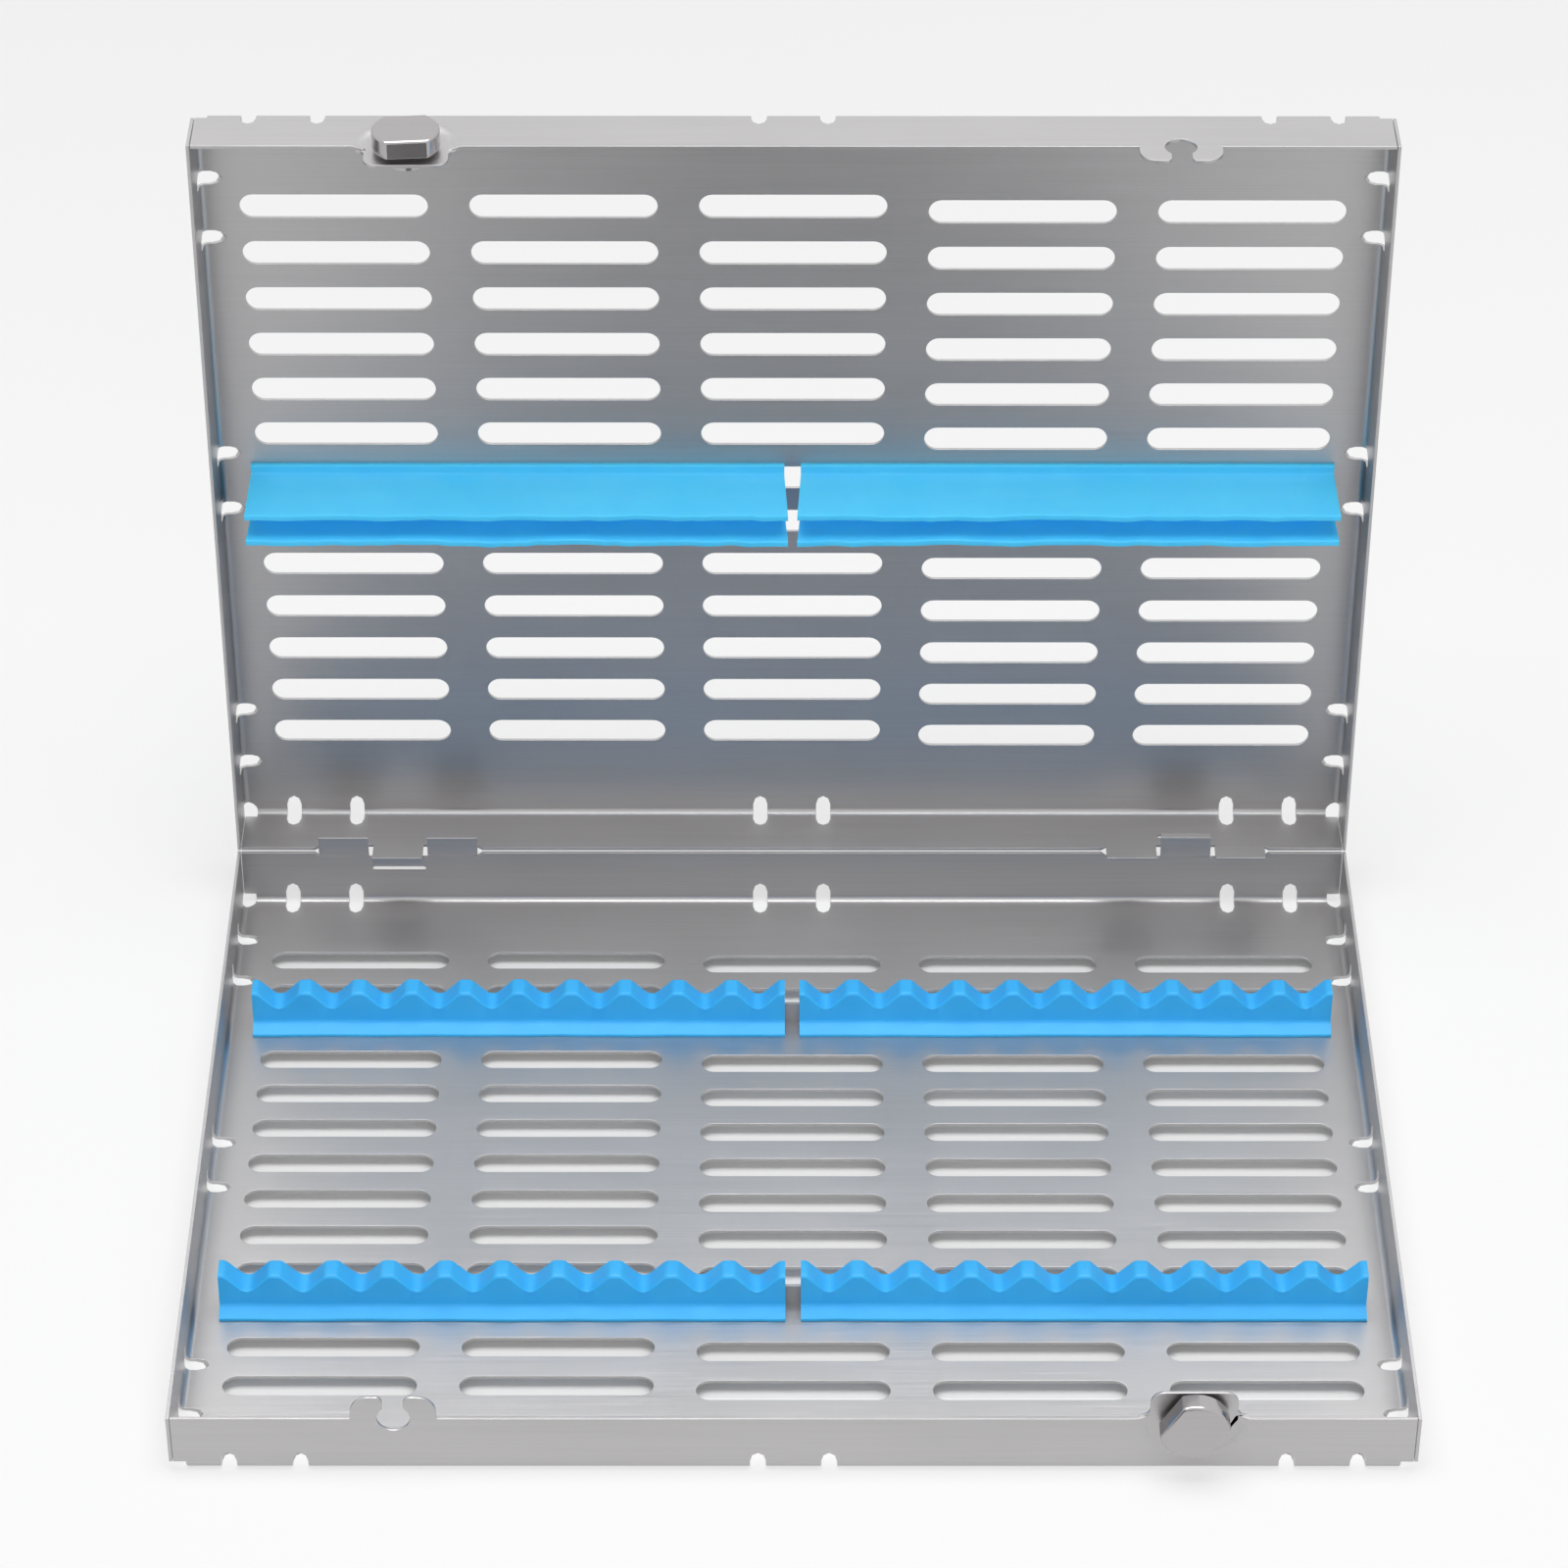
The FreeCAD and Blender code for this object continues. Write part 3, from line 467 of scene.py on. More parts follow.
def slot_rim(tree, edge, sizes):
    """One slot's edge, swept round a rectangle whose corners are fully rounded."""
    box = add_node(tree, "GeometryNodeCurvePrimitiveQuadrilateral", values={
        "Width": sizes["Slot Length"], "Height": sizes["Slot Width"]})
    stadium = add_node(tree, "GeometryNodeFilletCurve", {"mode": "POLY"}, {
        "Curve": box, "Count": SLOT_END_STEPS, "Radius": sizes["Slot Width"] * FULLY_ROUND})
    line = add_node(tree, "GeometryNodeMeshToCurve", values={0: edge})
    return add_node(tree, "GeometryNodeCurveToMesh",
                    values={"Curve": stadium, "Profile Curve": line})


def slot_grid(tree, rim, sizes):
    """Slots on every point of a grid but those of the bare rows."""
    grid = add_node(tree, "GeometryNodeMeshGrid", values={
        "Size X": (sizes["Columns"] - 1) * sizes["Column Pitch"],
        "Size Y": (sizes["Rows"] - 1) * sizes["Row Pitch"],
        "Vertices X": sizes["Columns"], "Vertices Y": sizes["Rows"]})
    x, y, _ = add_node(tree, "GeometryNodeInputPosition").parts()
    row = (sizes["Rows"] + 1) / 2 - y / sizes["Row Pitch"]
    punched = ((row - sizes["First Bare Row"]).absolute()
               .at_most((row - sizes["Second Bare Row"]).absolute()).above(0.5))
    slots = add_node(tree, "GeometryNodeInstanceOnPoints",
                     values={"Points": grid, "Selection": punched, "Instance": rim})
    left = (-1 * x).above(sizes["Column Pitch"] / 2)
    shift = vector_of(tree, 0.0, sizes["Middle Row"] + left * sizes["Stagger"], 0.0)
    staggered = add_node(tree, "GeometryNodeTranslateInstances", values={
        "Instances": slots, "Translation": shift, "Local Space": False})
    return add_node(tree, "GeometryNodeRealizeInstances", values={0: staggered})


def sheet_between(tree, rims, sizes):
    """Fill the panel's outline, less every slot, for the sheet's two faces."""
    z = add_node(tree, "GeometryNodeInputPosition").parts()[2]
    faces_at_edge = add_node(tree, "GeometryNodeInputMeshEdgeNeighbors")
    upper_edge = (2 - faces_at_edge) * z.above(sizes["Sheet"] / 2)
    outlines = add_node(tree, "GeometryNodeMeshToCurve",
                        values={"Mesh": rims, "Selection": upper_edge.above(0.5)})
    border = add_node(tree, "GeometryNodeCurvePrimitiveQuadrilateral", values={
        "Width": sizes["Panel Length"], "Height": sizes["Panel Width"]})
    both = join(tree, outlines, border)
    lower = add_node(tree, "GeometryNodeFillCurve", {"mode": "TRIANGLES"}, {"Curve": both})
    upper = add_node(tree, "GeometryNodeTransform", values={
        "Geometry": lower, "Translation": vector_of(tree, 0.0, 0.0, sizes["Sheet"])})
    return join(tree, lower, upper)


def join(tree, *pieces):
    node = tree.nodes.new("GeometryNodeJoinGeometry")
    for piece in reversed(pieces):
        tree.links.new(piece.socket, node.inputs[0])
    return Link(tree, node.outputs[0])


def floor_tree():
    tree, sizes = open_tree("punched_floor", {
        "Columns": "NodeSocketInt", "Column Pitch": "NodeSocketFloat",
        "Stagger": "NodeSocketFloat", "Rows": "NodeSocketInt",
        "Row Pitch": "NodeSocketFloat", "Middle Row": "NodeSocketFloat",
        "First Bare Row": "NodeSocketInt", "Second Bare Row": "NodeSocketInt",
        "Slot Length": "NodeSocketFloat", "Slot Width": "NodeSocketFloat",
        "Panel Length": "NodeSocketFloat", "Panel Width": "NodeSocketFloat",
        "Sheet": "NodeSocketFloat"})
    rims = slot_grid(tree, slot_rim(tree, sizes["Geometry"], sizes), sizes)
    close_tree(tree, join(tree, rims, sheet_between(tree, rims, sizes)), BASE_STEEL)
    return tree


# %% [markdown]
# ## The trays' folded walls
#
# The walls, tabs, ears and latch dish are already right in the model, except
# that its edges are knife sharp. So the rest of each tray is a copy of the
# model's mesh. The copy is turned back to lie floor down, its floor is cut
# out along the new panel's border, and a narrow bevel rounds its edges. Then
# the panel is welded in, and the whole tray goes back to its place.
#
# A bevel that narrow only looks right if the broad faces stay flat, so the
# shading normals are weighted by area: the large faces keep their own
# direction and the bevel turns between them.

# %% The lid's swing
HINGE = next(joint for joint in frame["joints"] if joint["name"] == "lid_hinge")
PIVOT = Vector(HINGE["pos_m"])
OPEN_ANGLE = math.radians(HINGE["range_deg"][1])
ORIGIN_BEHIND_MIDDLE = FLOOR_ROWS["Middle Row"] + FLOOR_ROWS["Row Pitch"] / 2
TRAY_MIDDLE = Matrix.Translation((0.0, -ORIGIN_BEHIND_MIDDLE, 0.0))


def lid_place():
    """From a tray lying floor down at the origin to the lid where it stands open."""
    turned = Matrix.Translation((0.0, 0.0, 2 * PIVOT.z)) @ Matrix.Rotation(math.pi, 4, "Y")
    swing = Matrix.Rotation(-OPEN_ANGLE, 4, "X")
    return Matrix.Translation(PIVOT) @ swing @ Matrix.Translation(-PIVOT) @ turned


# %% Cut, bevel and weld a tray
SHARP = math.radians(32)
CREASE = math.radians(50)
FLAT = math.radians(1)
MERGE = 0.001 * MM
CUT = 0.0001 * MM
TOUCH = 0.002 * MM
CLEAR_OF_CORNER = 0.01 * MM
WELD = 0.004 * MM
BOTH_SIDES = 2


def walls_of(node, place):
    """A copy of the model's tray, lying flat, with its floor cut out."""
    walls = bmesh.new()
    walls.from_mesh(frame["nodes"][node].data)
    walls.transform(place.inverted())
    bmesh.ops.remove_doubles(walls, verts=walls.verts, dist=MERGE)
    reach = (FLOOR_ROWS["Panel Length"] / 2, FLOOR_ROWS["Panel Width"] / 2)
    for axis in (0, 1):
        for way in (-1, 1):
            point = [0.0, 0.0, 0.0]
            normal = [0.0, 0.0, 0.0]
            point[axis] = way * reach[axis]
            normal[axis] = way
            bmesh.ops.bisect_plane(walls, geom=walls.verts[:] + walls.edges[:] + walls.faces[:],
                                   dist=CUT, plane_co=point, plane_no=normal)
    inside = []
    for face in walls.faces:
        middle = face.calc_center_median()
        if abs(middle.x) < reach[0] and abs(middle.y) < reach[1] and middle.z < 2 * SHEET:
            inside.append(face)
    bmesh.ops.delete(walls, geom=inside, context="FACES")
    bmesh.ops.dissolve_limit(walls, angle_limit=FLAT, verts=walls.verts, edges=walls.edges)
    return walls


def round_edges(shape, width):
    """Bevel every sharp edge; two segments pass for a round."""
    sharp = [edge for edge in shape.edges
             if len(edge.link_faces) == BOTH_SIDES and edge.calc_face_angle() > SHARP]
    bmesh.ops.bevel(shape, geom=sharp, offset=width, offset_type="OFFSET",
                    segments=2, profile=0.5, affect="EDGES", clamp_overlap=False)


def meet_borders(tray):
    """Split each long open edge where a corner of the other side touches it."""
    bare = [edge for edge in tray.edges if edge.is_boundary]
    corners = {corner for edge in bare for corner in edge.verts}
    long_edges = [edge for edge in bare if edge.calc_length() > FLOOR_ROWS["Slot Length"]]
    for edge in long_edges:
        start = edge.verts[0]
        end = edge.verts[1].co.copy()
        run = end - start.co
        touching = []
        for corner in corners:
            along = (corner.co - start.co).dot(run) / run.length_squared
            foot = start.co + run * along
            inside = CLEAR_OF_CORNER < along * run.length < run.length - CLEAR_OF_CORNER
            if inside and (foot - corner.co).length < TOUCH:
                touching.append((along, corner.co.copy()))
        rest = edge
        for _, point in sorted(touching, key=lambda item: item[0]):
            share = (point - start.co).length / (end - start.co).length
            _, start = bmesh.utils.edge_split(rest, start, share)
            start.co = point
            rest = next(e for e in start.link_edges
                        if (e.other_vert(start).co - end).length < (point - end).length
                        and e.is_boundary)


def weighted(mesh):
    """Shade smoothly, with normals that follow the broad faces."""
    mesh.shade_smooth()
    mesh.set_sharp_from_angle(angle=CREASE)
    holder = put_in_scene("weighting", mesh)
    weighting = holder.modifiers.new("weighting", "WEIGHTED_NORMAL")
    weighting.keep_sharp = True
    weighting.weight = 100
    evaluated = holder.evaluated_get(bpy.context.evaluated_depsgraph_get())
    shaded = bpy.data.meshes.new_from_object(evaluated)
    bpy.data.objects.remove(holder)
    return shaded


def finished(name, shape, material):
    """The shape as a shaded mesh of one material; it prints any open edges."""
    bmesh.ops.recalc_face_normals(shape, faces=shape.faces)
    open_edges = sum(1 for edge in shape.edges if len(edge.link_faces) != BOTH_SIDES)
    print(name, len(shape.faces), "faces,", open_edges, "open edges")
    mesh = bpy.data.meshes.new(name)
    shape.to_mesh(mesh)
    shape.free()
    mesh = weighted(mesh)
    mesh.materials.clear()
    mesh.materials.append(material)
    return mesh


# %% Make the two trays
FLOOR_TREE = floor_tree()


def make_tray(node, body, place, material, bare_rows):
    """One tray, with a newly punched floor in the model's own walls."""
    floor = grow(line_object(node + "_edge", punched_edge()), FLOOR_TREE, {
        **FLOOR_ROWS, "First Bare Row": bare_rows[0], "Second Bare Row": bare_rows[1]})
    tray = walls_of(node, place)
    round_edges(tray, WALL_ROUND)
    tray.from_mesh(floor)
    meet_borders(tray)
    bmesh.ops.remove_doubles(tray, verts=tray.verts, dist=WELD)
    seat(finished(node, tray, material), node.replace("shell", "punched_tray"), node, body,
         place)


make_tray("base_shell", "base", TRAY_MIDDLE, BASE_STEEL, bare_rows=(3, 11))
make_tray("lid_shell", "lid", lid_place() @ TRAY_MIDDLE, LID_STEEL, bare_rows=(0, 0))

# %% [markdown]
# ## The latch knobs
#
# A knob is turned from bar, and its two flats are milled. A small chamfer runs
# round its front face and shows as a thin bright line. The model's knob has
# that chamfer, but its edges are knife sharp, so a merged copy of it gets a
# narrow bevel, in the same way as the trays.

# %% Round the knobs' edges
KNOB_ROUND = 0.28 * MM


def make_knob(side):
    """The latch knob of one tray, with its edges rounded."""
    node = side + "_latch_knob"
    knob = bmesh.new()
    knob.from_mesh(frame["nodes"][node].data)
    bmesh.ops.remove_doubles(knob, verts=knob.verts, dist=MERGE)
    bmesh.ops.dissolve_limit(knob, angle_limit=FLAT, verts=knob.verts, edges=knob.edges)
    round_edges(knob, KNOB_ROUND)
    seat(finished(node, knob, KNOB_STEEL), side + "_turned_knob", node, side + "_knob")


for side in ("base", "lid"):
    make_knob(side)

# %% [markdown]
# ## The waved rails
#
# A rail holds ten instruments, one in each valley. Its section is a wall on a
# flared foot, grooved from below for the steel angle that stiffens it. Above
# the waist the height follows the wave: straight flanks, joined by a soft
# minimum to the crests and by a soft maximum to the valley floors. Soft
# limits round the joints as the mould does.
#
# Silicone is limp. A slow noise along the length sways the wall and its foot
# by a fraction of a millimetre, so that no long edge is dead straight.

# %% Rail sizes
BAR_HEIGHT = 5.6 * MM
BAR_FOOT = 5.6 * MM
BAR_ROOM = 0.1 * MM
WALL = 6.0 * MM
FOOT_FLARE = 3.3 * MM
FOOT_HEIGHT = 2.3 * MM
CREST = 11.1 * MM
VALLEY = 6.3 * MM
CREST_FLAT = 2.8 * MM
FLANK = 1.12
WAVES = 10
RAIL_STEPS = 320
SOLE_ROUND = 0.1 * MM
TOE_ROUND = 0.25 * MM
ANKLE_ROUND = 1.0 * MM
CREST_ROUND = 0.8 * MM
VALLEY_BLEND = 1.6 * MM
CREST_BLEND = 0.9 * MM
RAIL_SWAY = 0.4 * MM
SWAY_LENGTH = 24 * MM
SWAY_RISE = 30 * MM
SEED_STEP = 7.3


# %% The rail's section and tree
def rail_section():
    """Corners of a rail's section, from the front of its foot round to the groove."""
    middle = SHEET / 2
    wall = WALL / 2
    foot = wall + FOOT_FLARE
    return [
        (middle - foot, 0.0, SOLE_ROUND),
        (middle - foot, FOOT_HEIGHT / 3, TOE_ROUND),
        (middle - wall, FOOT_HEIGHT, ANKLE_ROUND),
        (middle - wall, CREST, CREST_ROUND),
        (middle + wall, CREST, CREST_ROUND),
        (middle + wall, FOOT_HEIGHT, ANKLE_ROUND),
        (middle + foot, FOOT_HEIGHT / 3, TOE_ROUND),
        (middle + foot, 0.0, SOLE_ROUND),
        (BAR_FOOT + BAR_ROOM, 0.0, 0.0),
        (BAR_FOOT + BAR_ROOM, SHEET + BAR_ROOM, 0.0),
        (SHEET + BAR_ROOM, SHEET + BAR_ROOM, 0.0),
        (SHEET + BAR_ROOM, BAR_HEIGHT + BAR_ROOM, 0.0),
        (-BAR_ROOM, BAR_HEIGHT + BAR_ROOM, 0.0),
        (-BAR_ROOM, 0.0, 0.0)]


def rail_tree():
    """Sweep the section, cut the wave into its top, and let it sway."""
    tree, sizes = open_tree("waved_rail", {
        "Start": "NodeSocketFloat", "Length": "NodeSocketFloat", "Waves": "NodeSocketFloat",
        "Steps": "NodeSocketInt", "Valley": "NodeSocketFloat", "Crest": "NodeSocketFloat",
        "Crest Flat": "NodeSocketFloat", "Flank": "NodeSocketFloat",
        "Sway": "NodeSocketFloat", "Seed": "NodeSocketFloat"})
    start, length, crest, valley = (
        sizes[word] for word in ("Start", "Length", "Crest", "Valley"))
    solid = swept(tree, sizes["Geometry"], start, start + length, sizes["Steps"])
    x, y, z = add_node(tree, "GeometryNodeInputPosition").parts()

    pitch = length / sizes["Waves"]
    off_valley = (((x - start) / pitch).fraction() - 0.5).absolute() * pitch
    flank_start = pitch / 2 - sizes["Crest Flat"] / 2
    flank = crest + (off_valley - flank_start) * sizes["Flank"]
    height = flank.soft_at_least(valley, VALLEY_BLEND).soft_at_most(crest, CREST_BLEND)
    waist = BAR_HEIGHT + 2 * BAR_ROOM
    upper = (z - waist).at_least(0.0)
    waved = z.at_most(waist) + upper * (height - waist) / (crest - waist)

    lean = noise(tree, vector_of(tree, x / SWAY_LENGTH, sizes["Seed"], z / SWAY_RISE)) - 0.5
    rounded = moved(tree, solid, vector_of(tree, x, y + lean * sizes["Sway"] * 2, waved))
    close_tree(tree, rounded, BLUE_SILICONE)
    return tree


# %% Make the four rails
RAIL_TREE = rail_tree()


def make_rail(node, seed):
    """One rail, as long as the model's and in its place."""
    low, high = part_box(node)
    section = section_object(node + "_section", rail_section())
    swept_mesh = grow(section, RAIL_TREE, {
        "Start": low.x, "Length": high.x - low.x, "Waves": float(WAVES), "Steps": RAIL_STEPS,
        "Valley": VALLEY, "Crest": CREST, "Crest Flat": CREST_FLAT, "Flank": FLANK,
        "Sway": RAIL_SWAY, "Seed": seed})
    mesh = joined(node, [swept_mesh], BLUE_SILICONE)
    sharpen(mesh)
    middle = (low.y + high.y) / 2 - SHEET / 2
    seat(mesh, node.replace("rail", "waved_rail"), node, "base",
         Matrix.Translation((0.0, middle, low.z)))


for seed, node in enumerate(("rear_rail_left", "rear_rail_right",
                             "front_rail_left", "front_rail_right")):
    make_rail(node, seed * SEED_STEP)

# %% [markdown]
# ## The hold-down lips
#
# The strips in the lid press the instruments into the rails. Each has two
# soft lips that stand off a flange and lean towards each other, with a deep
# valley between. They are the limpest parts of the cassette: their free edges
# wander, more towards the tip than at the root.
#
# A strip is drawn as if the lid lay closed, then turned by the same swing
# that opens the lid, about the model's own hinge.

# %% Lip sizes
STRIP_FLANGE = 21.0 * MM
FLANGE_THICKNESS = 1.2 * MM
STRIP_ROOT = 16.2 * MM
STRIP_HEIGHT = 14.2 * MM
TIP_SPREAD = 8.8 * MM
LIP_TIP = 1.5 * MM
LIP_VALLEY = 3.4 * MM
STRIP_STEPS = 130
FLANGE_ROUND = 0.4 * MM
ROOT_ROUND = 0.8 * MM
TIP_ROUND = 0.45 * MM
LIP_VALLEY_ROUND = 0.9 * MM
LIP_SWAY = 1.2 * MM
LIP_FLARE = 0.9 * MM
WANDER_LENGTH = 21 * MM
RIPPLE_LENGTH = 6 * MM
LIP_SEED_STEP = 5.0
WANDER_SWAY = 2.0
RIPPLE_SWAY = 0.4
RIPPLE_DROOP = 1.2
CLAW_LENGTH = 16.0 * MM
CLAW_THICKNESS = 2.6 * MM
CLAW_HOOK = 1.2 * MM
CLAW_HEAD = 1.0 * MM
CLAW_ROUND = 0.3 * MM
CLAW_INNER_ROUND = 0.15 * MM
LAND = 6.45 * MM


# %% The lips' section and tree
def strip_section():
    """Corners of the flange and its two lips, from the rear edge of the flange."""
    flange = STRIP_FLANGE / 2
    root = STRIP_ROOT / 2
    tip = TIP_SPREAD / 2
    return [
        (-flange, 0.0, 0.0),
        (flange, 0.0, 0.0),
        (flange, FLANGE_THICKNESS, FLANGE_ROUND),
        (root, FLANGE_THICKNESS, ROOT_ROUND),
        (tip, STRIP_HEIGHT, TIP_ROUND),
        (tip - LIP_TIP, STRIP_HEIGHT, TIP_ROUND),
        (0.0, LIP_VALLEY, LIP_VALLEY_ROUND),
        (LIP_TIP - tip, STRIP_HEIGHT, TIP_ROUND),
        (-tip, STRIP_HEIGHT, TIP_ROUND),
        (-root, FLANGE_THICKNESS, ROOT_ROUND),
        (-flange, FLANGE_THICKNESS, FLANGE_ROUND)]


def strip_tree():
    """Sweep the section and let its lips wander, flare and droop."""
    tree, sizes = open_tree("hold_down_lips", {
        "Start": "NodeSocketFloat", "Length": "NodeSocketFloat", "Steps": "NodeSocketInt",
        "Height": "NodeSocketFloat", "Sway": "NodeSocketFloat", "Flare": "NodeSocketFloat",
        "Seed": "NodeSocketFloat"})
    start = sizes["Start"]
    solid = swept(tree, sizes["Geometry"], start, start + sizes["Length"], sizes["Steps"])
    x, y, z = add_node(tree, "GeometryNodeInputPosition").parts()
    raised = z / sizes["Height"]
    lip = y.above(0.0) * LIP_SEED_STEP
    wander = noise(tree, vector_of(tree, x / WANDER_LENGTH, lip, sizes["Seed"])) - 0.5
    ripple = noise(tree, vector_of(tree, x / RIPPLE_LENGTH, lip, sizes["Seed"])) - 0.5
    sway = (wander * WANDER_SWAY + ripple * RIPPLE_SWAY) * raised * raised * sizes["Sway"]
    off_middle = (x - start) / sizes["Length"] * 2 - 1
    flare = off_middle * raised * raised * sizes["Flare"]
    droop = (ripple * RIPPLE_DROOP - wander) * raised * raised * sizes["Sway"]
    limp = vector_of(tree, x + flare, y + sway, z + droop.at_most(0.0))
    close_tree(tree, moved(tree, solid, limp), LIP_SILICONE)
    return tree


# %% The claws that hold a strip to the lid
def claw_section(way):
    """A hooked claw that reaches through a slot and behind the sheet's land."""
    inner = LAND / 2 + BAR_ROOM
    corners = [
        (inner, FLANGE_THICKNESS / 2, 0.0),
        (inner, -SHEET - BAR_ROOM, 0.0),
        (inner - CLAW_HOOK, -SHEET - BAR_ROOM, CLAW_INNER_ROUND),
        (inner - CLAW_HOOK, -SHEET - CLAW_HEAD, CLAW_ROUND),
        (inner + CLAW_THICKNESS, -SHEET - CLAW_HEAD, CLAW_ROUND),
        (inner + CLAW_THICKNESS, FLANGE_THICKNESS / 2, 0.0)]
    return [(way * across, up, rounding) for across, up, rounding in corners]


def claw_tree():
    """Sweep one claw and set out two of them along the strip."""
    tree, sizes = open_tree("strip_claws", {
        "Middle": "NodeSocketFloat", "Length": "NodeSocketFloat",
        "Spacing": "NodeSocketFloat", "Shift": "NodeSocketFloat"})
    half = sizes["Length"] / 2
    one = swept(tree, sizes["Geometry"], -1 * half, half, steps=2)
    row = add_node(tree, "GeometryNodeMeshLine", values={
        "Count": 2,
        "Start Location": vector_of(tree, sizes["Middle"], sizes["Shift"], 0.0),
        "Offset": vector_of(tree, sizes["Spacing"], 0.0, 0.0)})
    claws = add_node(tree, "GeometryNodeInstanceOnPoints",
                     values={"Points": row, "Instance": one})
    close_tree(tree, claws, LIP_SILICONE)
    return tree


# %% Make the two strips
STRIP_TREE = strip_tree()
CLAW_TREE = claw_tree()


def make_strip(node, seed):
    """One hold-down strip with its claws, swung up with the lid."""
    low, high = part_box(node)
    start, length = -high.x, high.x - low.x
    side = math.copysign(1.0, start)
    lips = grow(section_object(node + "_section", strip_section()), STRIP_TREE, {
        "Start": start, "Length": length, "Steps": STRIP_STEPS, "Height": STRIP_HEIGHT,
        "Sway": LIP_SWAY, "Flare": LIP_FLARE, "Seed": seed})
    meshes = [lips]
    for way in (1, -1):
        meshes.append(grow(section_object(f"{node}_claw{way}", claw_section(way)), CLAW_TREE, {
            "Middle": side * FLOOR_ROWS["Column Pitch"], "Length": CLAW_LENGTH,
            "Spacing": side * FLOOR_ROWS["Column Pitch"],
            "Shift": FLOOR_ROWS["Stagger"] if side < 0 else 0.0}))
    whole = joined(node, meshes, LIP_SILICONE)
    sharpen(whole)
    place = lid_place() @ Matrix.Translation((0.0, 0.0, SHEET))
    seat(whole, node.replace("strip", "hold_down_lips"), node, "lid", place)


make_strip("lid_strip_left", seed=3.1)
make_strip("lid_strip_right", seed=11.7)

# %% [markdown]
# ## Floor and light
#
# The cassette stands on white paper in a soft studio. One broad lamp hangs
# over it and a second, weaker one stands in front. Neither shows in the
# steel's reflections. What the steel mirrors is the world, the paper and
# three cards that only reflections see: a dark one on the paper in front, a
# pale one upright behind the camera, and a bright one overhead, which makes
# the level floor of the base the brightest steel.
#
# The white surround is only for the eye: where the camera or a reflection
# looks at the world or the paper, it shows white, and the light on the
# cassette stays at a plain level. Under the tray the paper has a shallow
# hollow that glows less, so the slots look shaded.


# %% Floor and world
def shows_plain_white(tree):
    """1 where the camera, a mirror or a glass looks, and 0 for the light itself."""
    path = tree.nodes.new("ShaderNodeLightPath")
    camera = Link(tree, path.outputs["Is Camera Ray"])
    glossy = Link(tree, path.outputs["Is Glossy Ray"])
    through = Link(tree, path.outputs["Is Transmission Ray"])
    return camera.at_least(glossy).at_least(through)


def paper(name, glow_share):
    """White paper that shows the eye a share of plain white."""
    material, tree, surface = new_material(name)
    surface.inputs["Base Color"].default_value = (0.9, 0.9, 0.9, 1.0)
    surface.inputs["Roughness"].default_value = 0.9
    surface.inputs["Specular IOR Level"].default_value = 0.0
    glow = tree.nodes.new("ShaderNodeEmission")
    blend = tree.nodes.new("ShaderNodeMixShader")
    connect(tree, shows_plain_white(tree) * glow_share, blend.inputs[0])
    tree.links.new(surface.outputs[0], blend.inputs[1])
    tree.links.new(glow.outputs[0], blend.inputs[2])
    tree.links.new(blend.outputs[0], tree.nodes["Material Output"].inputs[0])
    return material


FLOOR_SIZE = 8.0
HOLLOW_HALVES = (133 * MM, 84 * MM)
HOLLOW_DEPTH = 2.7 * MM
LEVEL_FACES = 4


def rectangle(half_length, half_width, height):
    return [(-half_length, -half_width, height), (half_length, -half_width, height),
            (half_length, half_width, height), (-half_length, half_width, height)]


def make_floor():
    """White paper that gives a little under the middle of the tray."""
    half = FLOOR_SIZE / 2
    points = (rectangle(half, half, 0.0) + rectangle(*HOLLOW_HALVES, 0.0)
              + rectangle(*HOLLOW_HALVES, -HOLLOW_DEPTH))
    rings = [(start + i, start + (i + 1) % 4, start + 4 + (i + 1) % 4, start + 4 + i)
             for start in (0, 4) for i in range(4)]
    mesh = bpy.data.meshes.new("floor")
    mesh.from_pydata(points, [], rings + [(8, 9, 10, 11)])
    mesh.materials.append(paper("white_paper", glow_share=0.6))
    mesh.materials.append(paper("shaded_paper", glow_share=0.08))
    for face in mesh.polygons[LEVEL_FACES:]:
        face.material_index = 1
    put_in_scene("floor", mesh)


def make_world(light_level):
    """An even grey sky that shows the eye plain white."""
    world = bpy.data.worlds.new("studio")
    world.use_nodes = True
    bpy.context.scene.world = world
    tree = world.node_tree
    background = tree.nodes["Background"]
    background.inputs["Color"].default_value = (1.0, 1.0, 1.0, 1.0)
    connect(tree, shows_plain_white(tree) * (1 - light_level) + light_level,
            background.inputs["Strength"])


make_floor()
make_world(light_level=0.33)


# %% Lamps
def add_lamp(name, place, aim, width, height, power):
    """A soft lamp that lights the object and doesn't show in reflections."""
    lamp = bpy.data.lights.new(name, "AREA")
    lamp.shape = "RECTANGLE"
    lamp.size = width
    lamp.size_y = height
    lamp.energy = power
    holder = put_in_scene(name, lamp)
    holder.location = place
    holder.visible_glossy = False
    holder.rotation_euler = (Vector(aim) - Vector(place)).to_track_quat("-Z", "Y").to_euler()


add_lamp("overhead", place=(0.0, -0.05, 1.35), aim=(0.0, 0.0, 0.0), width=1.1, height=0.7,
         power=12.0)
add_lamp("front", place=(0.2, -1.5, 0.65), aim=(0.0, 0.0, 0.1), width=1.0, height=0.7,
         power=8.0)


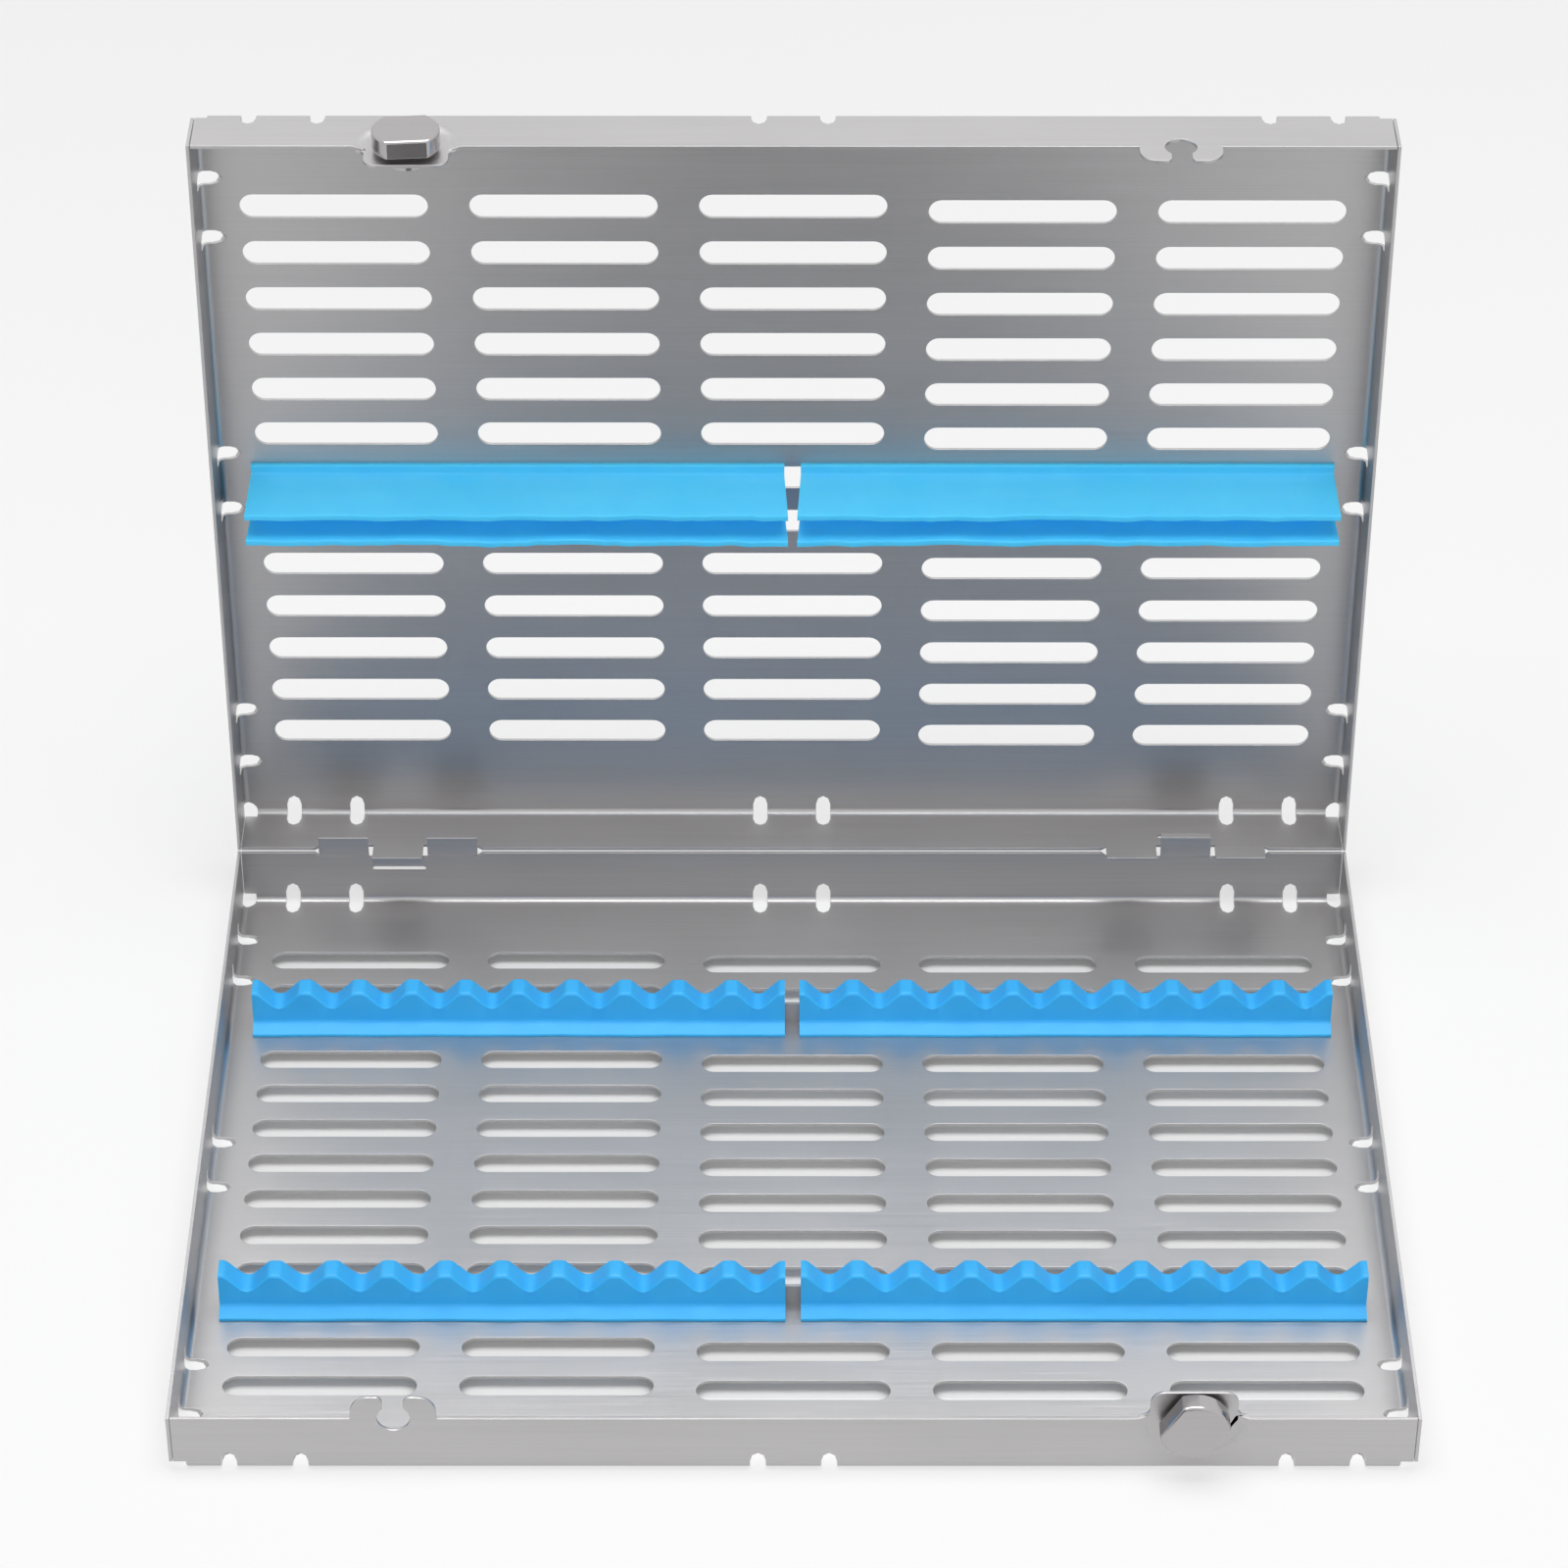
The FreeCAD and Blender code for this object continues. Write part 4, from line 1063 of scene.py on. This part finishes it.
# %% The cards that reflections see
def make_card(name, level, corners):
    """A glowing card that only reflections see."""
    mesh = bpy.data.meshes.new(name)
    mesh.from_pydata(corners, [], [(0, 1, 2, 3)])
    material, _, surface = new_material(name)
    surface.inputs["Base Color"].default_value = (0.0, 0.0, 0.0, 1.0)
    surface.inputs["Specular IOR Level"].default_value = 0.0
    surface.inputs["Emission Color"].default_value = (level, level, level, 1.0)
    surface.inputs["Emission Strength"].default_value = 1.0
    mesh.materials.append(material)
    card = put_in_scene(name, mesh)
    card.visible_camera = False
    card.visible_diffuse = False
    card.visible_shadow = False


make_card("near_card", level=0.2, corners=[
    (-0.1, -1.1, MM), (0.1, -1.1, MM), (0.1, -0.15, MM), (-0.1, -0.15, MM)])
make_card("far_card", level=0.95, corners=[
    (-2.0, -2.2, 0.4), (2.0, -2.2, 0.4), (2.0, -2.2, 3.0), (-2.0, -2.2, 3.0)])
make_card("roof_card", level=5.5, corners=[
    (-0.6, -0.2, 1.3), (-0.6, 0.6, 1.3), (0.6, 0.6, 1.3), (0.6, -0.2, 1.3)])

# %% [markdown]
# ## The camera
#
# The camera was solved from the photograph: the rows of slots and the wall
# edges, whose true spacing is known, fix its place, its aim and its lens. It
# stands about 1.3 m away with a long lens, looking down at 38 degrees.

# %% Camera
PHOTO_PIXELS = 1600
FOCAL_PIXELS = 5455.4
SENSOR = 36.0
CAMERA_PLACE = (-0.00403, -0.960565, 0.85760)
YAW = math.radians(0.11)
PITCH_DOWN = math.radians(37.82)
ROLL = math.radians(0.09)

camera_data = bpy.data.cameras.new("camera")
camera_data.sensor_width = SENSOR
camera_data.lens = SENSOR * FOCAL_PIXELS / PHOTO_PIXELS
camera = put_in_scene("camera", camera_data)
camera.matrix_world = (Matrix.Translation(CAMERA_PLACE)
                       @ Matrix.Rotation(-YAW, 4, "Z")
                       @ Matrix.Rotation(math.pi / 2 - PITCH_DOWN, 4, "X")
                       @ Matrix.Rotation(ROLL, 4, "Z"))
bpy.context.scene.camera = camera
bpy.context.scene.view_settings.view_transform = "Standard"
print("lens", round(camera_data.lens, 2), "mm")
